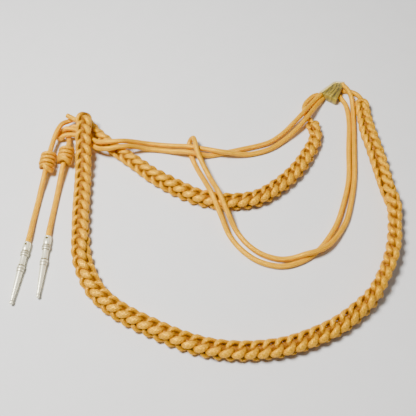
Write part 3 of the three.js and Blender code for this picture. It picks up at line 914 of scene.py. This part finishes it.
@dataclass(frozen=True)
class RibbonFinish:
    """Shiny woven ribbon, dark in its creases as painted shade."""

    name: str
    crest: Color
    crease: Color
    threads: float
    weave_share: float = 0.25
    metallic: float = 0.3

    def build(self, effects: Effects) -> bpy.types.Material:
        """Makes the material.

        Args:
            effects: The shared node groups.

        Returns:
            The material, which reads the piece's own place and depth layers.
        """
        material, nodes = new_material(self.name)
        ribs = effects.weave(nodes, self.threads, self.threads)
        shade = effects.shade(nodes, 320.0, 1.0)
        # Painted shade: the colour darkens towards the crease colour where the folds lie deep.
        creased = nodes.blend(nodes.depth(), self.crest, self.crease)
        woven = nodes.blend(nodes.math("MULTIPLY", ribs["Over"], self.weave_share), creased, self.crease)
        color = nodes.blend(1.0, woven, shade, "MULTIPLY")
        bump = nodes.make("ShaderNodeBump", {"Strength": 0.5, "Distance": 0.0002, "Height": ribs["Height"]})
        nodes.surface(
            {
                "Base Color": color,
                "Metallic": self.metallic,
                "Roughness": nodes.remap(shade, 0.3, 0.5, 0.7, 1.3),
                "Sheen Weight": 0.3,
                "Normal": bump.outputs[0],
            }
        )
        return material


@dataclass(frozen=True)
class GiltFinish:
    """Pale polished gilt, olive on its rings, and dark as painted shade where the turning is deep."""

    name: str = "Pale gilt"
    polished: Color = (1.0, 0.95, 0.70, 1)
    olive_and_shade: Color = (0.13, 0.09, 0.01, 1)

    def build(self, effects: Effects) -> bpy.types.Material:
        """Makes the material.

        Args:
            effects: The shared node groups.

        Returns:
            The material, which reads the piece's own depth layer.
        """
        material, nodes = new_material(self.name)
        shade = effects.shade(nodes, 420.0, 0.6)
        # Olive tone on the rings, and painted shade in the grooves, the socket's mouth and the pin.
        olive_shade_mask = nodes.math("MULTIPLY", nodes.depth(), shade)
        toned = nodes.blend(olive_shade_mask, self.polished, self.olive_and_shade)
        color = nodes.blend(0.35, toned, shade, "MULTIPLY")
        bump = nodes.make("ShaderNodeBump", {"Strength": 0.1, "Distance": 0.0001, "Height": shade})
        roughness = nodes.remap(olive_shade_mask, 0.26, 0.5)
        normal = bump.outputs[0]
        nodes.surface({"Base Color": color, "Metallic": 0.4, "Roughness": roughness, "Normal": normal})
        return material


@dataclass(frozen=True)
class FloorFinish:
    """Plain pale matt paper."""

    name: str = "Pale floor"
    color: Color = (0.80, 0.79, 0.77, 1)

    def build(self, effects: Effects) -> bpy.types.Material:
        """Makes the material.

        Args:
            effects: The shared node groups.

        Returns:
            The floor's material.
        """
        material, nodes = new_material(self.name)
        color = nodes.blend(1.0, self.color, effects.shade(nodes, 40.0, 0.05), "MULTIPLY")
        nodes.surface({"Base Color": color, "Roughness": 0.85})
        return material


@dataclass(frozen=True)
class FreeCord:
    """A plain cord that lies free, from where it leaves the object to where it goes back in."""

    name: str
    rows: Sequence[Row]
    nodes: tuple[str, ...]
    spacing: float = 0.0012

    def build(self, material: bpy.types.Material) -> None:
        """Args:
            material: The cord's finish.
        """
        line = spline(np.array(self.rows, float), 24)
        line[:, 2] = np.maximum(line[:, 2], ON_TABLE)
        line = evenly(line, self.spacing)
        piece = level_tube(line).surface().build(self.name, Slot.CORD, material, *self.nodes)


@dataclass
class Plait:
    """A chain-stitched plait, worked from one cord."""

    name: str
    route: Sequence[Row]
    node: str
    width: float = PLAIT_WIDTH
    thickness: float = PLAIT_THICKNESS
    end_round: float = 0.007
    end_share: float = 0.62
    strand_height: float = 0.0053
    fullness: float = 2.3
    samples: int = 3
    sides: int = 12
    shade_filler_share: float = 0.5
    shade_filler_ends: int = 5
    spacing: float = 0.0015
    shade_within: float = 0.95
    shade_over: float = 0.55
    length: float = field(default=0.0, init=False)

    def rest_height(self, roll: Array) -> Array:
        """How high the plait's middle lies when it rests on the table.

        Args:
            roll: The turn of its face at each place, in radians.

        Returns:
            The lowest point of the turned section, which is an oval with full corners.
        """
        angle = np.linspace(0, 2 * np.pi, 72, endpoint=False)[:, None]
        power = 2 / self.fullness
        across = self.width / 2 * np.sign(np.cos(angle)) * np.abs(np.cos(angle)) ** power
        above = self.thickness / 2 * np.sign(np.sin(angle)) * np.abs(np.sin(angle)) ** power
        return -np.min(across * np.sin(roll) + above * np.cos(roll), axis=0)

    def middle(self) -> tuple[Array, Array]:
        """The plait's middle line and what goes with it.

        Returns:
            Distances along it, and in a row for each: the place, the direction across the flat
            section, the direction above it, its share of the full size, and the turn of the
            stitches in radians.
        """
        rows = np.array(self.route, float)
        rows[:, 2] += rows[:, 4] * self.rest_height(np.radians(rows[:, 3]))
        line = evenly(spline(rows, 24), self.spacing)
        forward = unit(np.gradient(line[:, :3], axis=0))
        side = unit(np.cross([0.0, 0.0, 1.0], forward))
        top = np.cross(forward, side)
        roll = np.radians(line[:, 3:4])
        across = side * np.cos(roll) + top * np.sin(roll)
        above = top * np.cos(roll) - side * np.sin(roll)
        size, turn = line[:, 4], np.radians(line[:, 5])
        return distances(line), np.column_stack([line[:, :3], across, above, size, turn])

    def stitches(self) -> Array:
        """The whole strand in the plait's own measures, worked from its far end to its near one.

        An arc lies over the first end. Each stitch is its half, the half mirrored back, and the run
        behind to the next one, and the strand's end is tucked up through the last. Across and above
        are shares of how far the middle of the strand may lie from the plait's middle.

        Returns:
            Rows of along, across, above, width, height and the way the height points.
        """
        half = np.array(HALF_STITCH)
        back = half[-2::-1] * [1, -1, 1, 1, 1, 1, -1, 1]
        whole = np.vstack([half, back, np.array(BACK_RUN)])
        run = self.length / CORD - LAST_STITCH
        count = max(2, round(run / STITCH_PITCH) + 1)
        rows = np.tile(whole, (count, 1))
        rows[:, 0] += FIRST_FOOT + np.repeat(np.linspace(0, run, count), len(whole))
        tuck = np.array(LAST_TUCK)
        tuck[:, 0] += FIRST_FOOT + run
        rows = np.vstack([np.array(FIRST_ARC), rows, tuck])
        rows[:, 0] = self.length / CORD - rows[:, 0]
        rows[:, 5] *= -1
        strand = spline(rows, self.samples)
        strand[:, 1:3] /= STITCH_REACH
        strand[:, [0, 3, 4]] *= CORD
        return strand

    def turned(self, shares: Array, turn: Array) -> Array:
        """Shares of the section turned inside it, so that none leaves its outline.

        The outline is an oval with full corners: the powers of its two shares add up to one. A
        point keeps its share of the way out and moves round by the turn.

        Args:
            shares: Across and above, for each point.
            turn: The turn in radians.

        Returns:
            The new shares.
        """
        out = np.sum(np.abs(shares) ** self.fullness, axis=1) ** (1 / self.fullness)
        angle = np.arctan2(shares[:, 1], shares[:, 0]) + turn
        around = np.column_stack([np.cos(angle), np.sin(angle)])
        rim = np.sum(np.abs(around) ** self.fullness, axis=1) ** (1 / self.fullness)
        return around * (np.minimum(out, 1) / rim)[:, None]

    def shade_filler(self, middle: Array) -> Surface:
        """A dark filler inside the stitches, so that the floor doesn't show through between them: painted
        shade in the gaps.

        No piece of the real plait corresponds to it. It follows the plait's middle line, and its
        width and height are the same share of the plait's, turned with the stitches.

        Args:
            middle: The rows of the middle line.

        Returns:
            The closed surface, all of it deep, in the colour of painted shade.
        """
        inner = middle[self.shade_filler_ends : -self.shade_filler_ends]
        size, turn = inner[:, 9], inner[:, 10:11]
        up = -np.sin(turn) * inner[:, 3:6] + np.cos(turn) * inner[:, 6:9]
        width = self.shade_filler_share * self.width * size
        height = self.shade_filler_share * self.thickness * size
        surface = Tube(inner[:, :3], up, width, height, self.sides).surface()
        # All of it takes the cord's deep colour, painted shade in the gaps between the stitches.
        surface.depth = surface.depth + 1.0
        return surface

    def build(self, material: bpy.types.Material) -> None:
        """Makes the strand and its filler along the route and lets them replace the plait's solid.

        Args:
            material: The cord's finish.
        """
        far, middle = self.middle()
        self.length = float(far[-1])
        strand = self.stitches()
        along = np.clip(strand[:, 0], 0, self.length)
        here = np.column_stack([np.interp(along, far, column) for column in middle.T])
        centre, side, face = here[:, :3], unit(here[:, 3:6]), unit(here[:, 6:9])
        size, turn = here[:, 9:10], here[:, 10]
        to_end = np.clip(np.minimum(along, self.length - along) / self.end_round, 0, 1)
        shrink = self.end_share + (1 - self.end_share) * np.sqrt(1 - (1 - to_end) ** 2)
        reach = (size * [self.width, self.thickness] - self.strand_height) / 2
        shares = self.turned(strand[:, 1:3], turn) * reach * shrink[:, None]
        line = centre + shares[:, :1] * side + shares[:, 1:] * face
        cos, sin = np.cos(turn), np.sin(turn)
        up_across = strand[:, 6] * cos - strand[:, 7] * sin
        up_above = strand[:, 6] * sin + strand[:, 7] * cos
        up = strand[:, 5:6] * np.cross(side, face) + up_across[:, None] * side + up_above[:, None] * face
        surface = Tube(line, up, strand[:, 3], strand[:, 4], self.sides).surface()
        # Painted shade: the nearer a point lies to the plait's middle, the more it takes the cord's deep
        # colour.
        from_middle = surface.points - centre[:, None]
        share_across = np.sum(from_middle * side[:, None], axis=-1) / (size * self.width / 2)
        share_above = np.sum(from_middle * face[:, None], axis=-1) / (size * self.thickness / 2)
        out = np.hypot(share_across, share_above)
        surface.depth = np.clip((self.shade_within - out) / self.shade_over, 0, 1)
        surface.build(self.name, Slot.CORD, material, self.node)
        self.shade_filler(middle).build(self.name + "_heart", Slot.CORD, material, self.node)
        LOG.info("%s: %.0f mm long, from %.2f m of cord", self.name, self.length / MM, distances(line)[-1])


@dataclass(frozen=True)
class BarrelKnot:
    """Turns of the cord wound round itself, with a tuck where its end goes in."""

    name: str
    node: str
    place: Straight
    tuck: Sequence[Row]
    turns: float = 4.0
    pitch: float = 0.0054
    start: float = 0.0018
    winding: float = 0.0132
    drawn_turns: float = 0.55
    drawn_share: float = 0.72
    cord_width: float = 0.005
    tuck_cord: float = 0.0056
    shade_within: float = 0.97
    shade_over: float = 0.3

    def winding_line(self) -> Array:
        """The wound cord's middle: a helix that draws in at both ends.

        Returns:
            Points along the knot, sideways and up, in metres.
        """
        turn = np.linspace(0, self.turns, round(self.turns * 40) + 1)
        angle = 2 * np.pi * turn + np.pi
        full = np.sin(0.5 * np.pi * np.clip(np.minimum(turn, self.turns - turn) / self.drawn_turns, 0, 1))
        radius = self.winding / 2 * (self.drawn_share + (1 - self.drawn_share) * full)
        along = self.start + self.pitch * turn
        return np.column_stack([along, radius * np.cos(angle), radius * np.sin(angle)])

    def build(self, material: bpy.types.Material) -> None:
        """Makes the turns and the tuck, and lets them replace the knot's solid.

        Args:
            material: The cord's finish.
        """
        winding = self.winding_line()
        line = self.place.place(winding, KNOT_LEVEL)
        axis = self.place.place(winding * [1, 0, 0], KNOT_LEVEL)
        width = np.full(len(line), self.cord_width)
        height = np.full(len(line), CORD)
        turns = Tube(line, line - axis, width, height).surface()
        # Painted shade: the nearer a point of the turns lies to the knot's axis, the more it takes the
        # cord's deep colour.
        reach = np.linalg.norm(turns.points - axis[:, None], axis=-1)
        turns.depth = np.clip((self.shade_within - reach / (KNOT_DIAMETER / 2)) / self.shade_over, 0, 1)
        turns.build(self.name + "_turns", Slot.CORD, material, self.node)
        tuck = evenly(spline(np.array(self.tuck) * MM, 12), 0.0008)
        end = level_tube(self.place.place(tuck, KNOT_LEVEL), self.tuck_cord).surface()
        end.build(self.name + "_tuck", Slot.CORD, material, self.node)


@dataclass(frozen=True)
class TurnedTip:
    """A turned metal tip on a pencil cord's end, with a pin sunk in a hole in its socket, coloured dark as
    painted shade of the hole.
    """

    name: str
    node: str
    place: Straight
    sides: int = 48
    hole_radius: float = 0.0015
    hole_from_mouth: float = 0.003
    hole_sides: int = 20
    drill_level: float = 0.0045
    drill_depth: float = 0.004
    pin_levels: tuple[float, ...] = (0.0008, 0.0014, 0.0034)
    pin_play: float = 0.0002

    def build(self, material: bpy.types.Material) -> None:
        """Turns the outline about the tip's axis, drills the hole and sinks the pin in it.

        Args:
            material: The metal's finish.
        """
        outline = np.array(TIP_OUTLINE) * [MM, MM, 1]
        smooth = np.repeat(outline, 2, axis=0)[1:-1]
        smooth[::2] = 0.8 * smooth[::2] + 0.2 * smooth[1::2]
        smooth[1::2] = 0.25 * smooth[::2] + 0.75 * smooth[1::2]
        rings = np.vstack([outline[:1], smooth, outline[-1:]])
        angle = -2 * np.pi * np.arange(self.sides) / self.sides
        along = np.repeat(rings[:, :1], self.sides, axis=1)
        radius = rings[:, 1:2] / 2
        local = np.stack([along, radius * np.cos(angle), radius * np.sin(angle)], axis=-1)
        points = self.place.place(local, TIP_LEVEL)
        depth = np.repeat(rings[:, 2:3], self.sides, axis=1)
        place = (rings[:, 0], np.linspace(0, 1, self.sides + 1))
        piece = Surface(points, place, depth).build(self.name, Slot.METAL, material, self.node)
        self.drill(piece)
        levels = np.array([[self.hole_from_mouth, 0, level] for level in self.pin_levels])
        size = np.full(len(levels), 2 * self.hole_radius - self.pin_play)
        up = np.tile([0.0, 1.0, 0.0], (len(levels), 1))
        pin = Tube(self.place.place(levels, TIP_LEVEL), up, size, size, self.hole_sides).surface()
        # The pin takes the darkest colour, painted shade of the hole.
        pin.depth = pin.depth + 1.0
        pin.build(self.name + "_pin", Slot.METAL, material, self.node)

    def drill(self, piece: bpy.types.Object) -> None:
        """Cuts the hole down into the socket.

        Args:
            piece: The tip.
        """
        start = np.array([self.hole_from_mouth, 0.0, 0.0])
        middle = self.place.place(start, TIP_LEVEL + self.drill_level) + OFFSET
        bpy.ops.mesh.primitive_cylinder_add(
            vertices=self.hole_sides, radius=self.hole_radius, depth=self.drill_depth, location=middle
        )
        drill = bpy.context.object
        cut = piece.modifiers.new("Pin hole", "BOOLEAN")
        cut.object = drill
        cut.solver = "EXACT"
        evaluated = piece.evaluated_get(bpy.context.evaluated_depsgraph_get())
        drilled = bpy.data.meshes.new_from_object(evaluated)
        piece.modifiers.clear()
        piece.data = drilled
        bpy.data.objects.remove(drill)


@dataclass(frozen=True)
class ShoulderTab:
    """The ribbon folded over the cords' ends, with its pale selvedge along its two back edges."""

    cells: int = 72
    crease_depth: float = 0.0034
    foot_levels: tuple[float, ...] = (0.0, 0.0004, 0.0028)
    band_inset: float = 0.0018
    band_width: float = 0.0038
    band_height: float = 0.0022
    band_wave: float = 0.0003
    band_wave_length: float = 0.0034

    def outline(self, across: Array, along: Array) -> tuple[Array, Array]:
        """Places on the table between the tab's four corners.

        Args:
            across: From the left corner's side, 0, to the front corner's side, 1.
            along: From those corners, 0, to the back ones, 1.

        Returns:
            X and Y, mixed between the corners.
        """
        corners = [np.array(c) for c in (TAB_LEFT, TAB_FRONT, TAB_BACK, TAB_RIGHT)]
        near = [corners[0][k] * (1 - across) + corners[1][k] * across for k in (0, 1)]
        back = [corners[2][k] * (1 - across) + corners[3][k] * across for k in (0, 1)]
        x, y = (near[k] * (1 - along) + back[k] * along for k in (0, 1))
        return x, y

    def folds(self, across: Array, along: Array) -> Array:
        """How far the creases lie under the smooth crown, in shares from 0 to 1.

        Three slanted sets of creases are added: each is one less the sine of its place between
        two creases, raised so that crests are broad and creases narrow, and bent by another wave.

        Args:
            across: Shares across the tab.
            along: Shares along the tab.

        Returns:
            The sum of the sets.
        """
        bend = 0.12 * np.sin(5 * along + 2) + 0.07 * np.sin(9 * across + 1)
        sets = (
            (0.55, 3.4 * (across + 0.22 * along + bend)),
            (0.3, 4.6 * (across - 0.5 * along - bend) + 0.3),
            (0.15, 5.2 * (along + 0.35 * across + 2 * bend) + 0.6),
        )
        return sum(weight * (1 - np.abs(np.sin(np.pi * place)) ** 0.6) for weight, place in sets)

    def body(self) -> Surface:
        """The ribbon pad: rings from its edge on the table, over the top to its middle.

        Returns:
            The closed surface.
        """
        turn = 2 * np.pi * np.arange(4 * self.cells) / (4 * self.cells)
        square = np.maximum(np.abs(np.cos(turn)), np.abs(np.sin(turn)))
        corner_x = np.cos(turn) / square
        corner_y = np.sin(turn) / square
        shares = np.concatenate([[0.86, 0.97], np.linspace(1.0, 0.02, 40)])
        across = 0.5 + 0.5 * shares[:, None] * corner_x
        along = 0.5 + 0.5 * shares[:, None] * corner_y
        x, y = self.outline(across, along)
        inner = np.clip(across * (1 - across) * along * (1 - along) * 16, 0, 1) ** 0.35
        crease = self.folds(across, along)
        crown = TAB_EDGE_THICKNESS + (TAB_THICKNESS - TAB_EDGE_THICKNESS) * inner
        z = crown - self.crease_depth * crease * (0.25 + 0.75 * inner)
        z[: len(self.foot_levels)] = np.array(self.foot_levels)[:, None]
        place = (shares * 0.03, np.linspace(0, 0.1, len(turn) + 1))
        points = np.stack([x, y, z], axis=-1)
        # How deep the creases lie becomes the depth layer, painted shade in the ribbon's colour.
        return Surface(points, place, np.clip(1.5 * crease - 0.15, 0, 1))

    def selvedge(self) -> Tube:
        """The narrow folded edge along the tab's back left and back edges.

        Returns:
            A flat band that lies on the edge of the pad.
        """
        between = 0.5 * (np.array(TAB_BACK) + np.array(TAB_RIGHT))
        rows = np.array(
            [
                (TAB_LEFT[0] + 0.0006, TAB_LEFT[1], 0.0094),
                (0.1500, 0.1696, 0.0106),
                (0.1568, 0.1752, 0.0108),
                (TAB_BACK[0] + 0.001, TAB_BACK[1] - self.band_inset, 0.0106),
                (between[0], between[1] - self.band_inset, 0.0106),
                (TAB_RIGHT[0] - 0.0014, TAB_RIGHT[1] - self.band_inset, 0.0102),
            ]
        )
        line = evenly(spline(rows, 16), 0.0006)
        up = np.tile([-0.3, 0.3, 0.8], (len(line), 1))
        wave = self.band_wave * np.sin(2 * np.pi * distances(line) / self.band_wave_length)
        return Tube(line, up, self.band_width + wave, self.band_height + wave, 16)

    def build(self, ribbon: bpy.types.Material, selvedge: bpy.types.Material) -> None:
        """Makes the pad and its selvedge, and lets them replace the tab's solid.

        Args:
            ribbon: The ribbon's finish.
            selvedge: The selvedge's finish.
        """
        pad = self.body().build("shoulder_tab_ribbon", Slot.RIBBON, ribbon, "shoulder_tab")
        band = self.selvedge().surface()
        band.build("shoulder_tab_selvedge", Slot.RIBBON, selvedge, "shoulder_tab")


@dataclass(frozen=True)
class CutEnd:
    """A short end of cord that stands out of a plait, cut off square."""

    name: str
    rows: Sequence[Row]

    def build(self, material: bpy.types.Material) -> None:
        """Makes the end, its rim a little rubbed thin, with its last rings in the cord's deep orange.

        Args:
            material: The cord's finish.
        """
        line = evenly(spline(np.array(self.rows, float), 24), 0.0006)
        step = line[-1] - line[-2]
        rim = np.array([line[-1] + share * step for share in (0.35, 0.5, 0.45, 0.35)])
        whole = np.vstack([line, rim])
        size = np.concatenate([np.full(len(line), CORD), CORD * np.array([0.96, 0.86, 0.6, 0.12])])
        rings = Tube(whole, np.tile([0.0, 0.0, 1.0], (len(whole), 1)), size, size)
        depth = np.zeros((len(whole), rings.sides))
        depth[-3:] = 0.75
        rings.surface(depth).build(self.name + "_cord", Slot.CORD, material, self.name)


@dataclass(frozen=True)
class Studio:
    """The camera at the photograph's angle, a pale floor and soft lights."""

    elevation: float = 60.0
    distance: float = 0.670
    picture: float = 416.0
    focal_length: float = 582.6
    sensor: float = 36.0
    floor_size: float = 6.0
    floor_drop: float = 0.0002

    def camera(self) -> None:
        """Aims the camera at the layout's zero point, from in front and above."""
        data = bpy.data.cameras.new("Camera")
        data.sensor_width = self.sensor
        data.lens = self.focal_length / self.picture * self.sensor
        data.clip_start = 0.01
        camera = bpy.data.objects.new("Camera", data)
        bpy.context.scene.collection.objects.link(camera)
        angle = math.radians(self.elevation)
        away = Vector((0.0, -math.cos(angle), math.sin(angle)))
        camera.location = Vector(OFFSET) + self.distance * away
        camera.rotation_euler = away.to_track_quat("Z", "Y").to_euler()
        bpy.context.scene.camera = camera

    def floor(self, material: bpy.types.Material) -> None:
        """Lays the floor just under the part.

        Args:
            material: The floor's finish.
        """
        half = self.floor_size / 2
        drop = -self.floor_drop
        corners = [(-half, -half, drop), (half, -half, drop), (half, half, drop), (-half, half, drop)]
        mesh = bpy.data.meshes.new("Floor")
        mesh.from_pydata(corners, [], [(0, 1, 2, 3)])
        mesh.materials.append(material)
        floor = bpy.data.objects.new("Floor", mesh)
        bpy.context.scene.collection.objects.link(floor)

    def light(self, name: str, place: Row, size: float, power: float, color: Row = (1, 1, 1)) -> None:
        """Hangs a square soft light that faces the part.

        Args:
            name: The light's name.
            place: Where it hangs, in metres.
            size: Its side, in metres.
            power: Its power, in watts.
            color: Its colour.
        """
        data = bpy.data.lights.new(name, "AREA")
        data.shape = "SQUARE"
        data.size = size
        data.energy = power
        data.color = color
        light = bpy.data.objects.new(name, data)
        light.location = place
        light.rotation_euler = Vector(place).to_track_quat("Z", "Y").to_euler()
        bpy.context.scene.collection.objects.link(light)

    def lights(self) -> None:
        """Hangs a small bright light at the left and a wide dim one at the right, in a pale surround."""
        self.light("Overhead light", (-0.45, 0.0, 1.1), 0.3, 31.0)
        self.light("Side light", (0.9, 0.5, 0.9), 0.8, 2.0, (1.0, 0.97, 0.92))
        world = bpy.data.worlds.new("Surround")
        world.use_nodes = True
        background = world.node_tree.nodes["Background"]
        background.inputs["Color"].default_value = (0.95, 0.97, 1.0, 1)
        background.inputs["Strength"].default_value = 0.12
        bpy.context.scene.world = world


def free_cords() -> list[FreeCord]:
    """The plain cords, each along its whole route.

    Returns:
        The doubled cords, the links to the tab and the two pencil cords.
    """
    in_knot = (-KNOT_LEAD, 0.25 * KNOT_LENGTH, 0.75 * KNOT_LENGTH, KNOT_LENGTH + KNOT_LEAD)
    in_tip = (-TIP_LEAD, -TIP_LEAD / 3, TIP_CORD_DEPTH)
    pencils = []
    for number, top, knot, rest, tip in (
        (1, PENCIL_CORD_1_TOP, KNOT_1, PENCIL_CORD_1_REST, TIP_1),
        (2, PENCIL_CORD_2_TOP, KNOT_2, PENCIL_CORD_2_REST, TIP_2),
    ):
        rows = [*top, *knot.rows(KNOT_LEVEL, in_knot), *rest, *tip.rows(TIP_LEVEL, in_tip)]
        pencils.append(FreeCord(f"pencil_{number}", rows, (f"pencil_cord_{number}",)))
    return [
        FreeCord("front_cord", FRONT_CORD_ROUTE, ("front_cord_out", "front_cord_bight", "front_cord_back")),
        FreeCord("loop_cord", LOOP_CORD_ROUTE, ("loop_cord_out", "loop_cord_bight", "loop_cord_back")),
        FreeCord("long_link", LINK_CORD_LONG_ROUTE, ("link_cord_long",)),
        FreeCord("short_link", LINK_CORD_SHORT_ROUTE, ("link_cord_short",)),
        *pencils,
    ]


def main() -> None:
    """Builds the camera, the cords, the worked pieces, the metal, the tab and the studio."""
    logging.basicConfig(level=logging.INFO, format="%(name)s: %(message)s")
    studio = Studio()
    studio.camera()
    effects = Effects(crossed_ribs(), mottle())
    cord = CordFinish().build(effects)
    gilt = GiltFinish().build(effects)
    ribbon = RibbonFinish("Olive ribbon", (0.44, 0.31, 0.012, 1), (0.05, 0.032, 0.001, 1), 900.0)
    selvedge = RibbonFinish("Selvedge", (0.9, 0.72, 0.26, 1), (0.36, 0.25, 0.04, 1), 420.0)
    for free in free_cords():
        free.build(cord)
    Plait("long_plait", LONG_PLAIT_ROUTE, "plait_long").build(cord)
    Plait("short_plait", SHORT_PLAIT_ROUTE, "plait_short").build(cord)
    for number, knot, tuck, tip in ((1, KNOT_1, KNOT_1_TUCK, TIP_1), (2, KNOT_2, KNOT_2_TUCK, TIP_2)):
        BarrelKnot(f"barrel_{number}", f"knot_{number}", knot, tuck).build(cord)
        TurnedTip(f"turned_tip_{number}", f"tip_{number}", tip).build(gilt)
    CutEnd("cut_end_top", CUT_END_TOP_ROUTE).build(cord)
    CutEnd("cut_end_side", CUT_END_SIDE_ROUTE).build(cord)
    ShoulderTab().build(ribbon.build(effects), selvedge.build(effects))
    studio.floor(FloorFinish().build(effects))
    studio.lights()


if __name__ == "__main__":
    main()
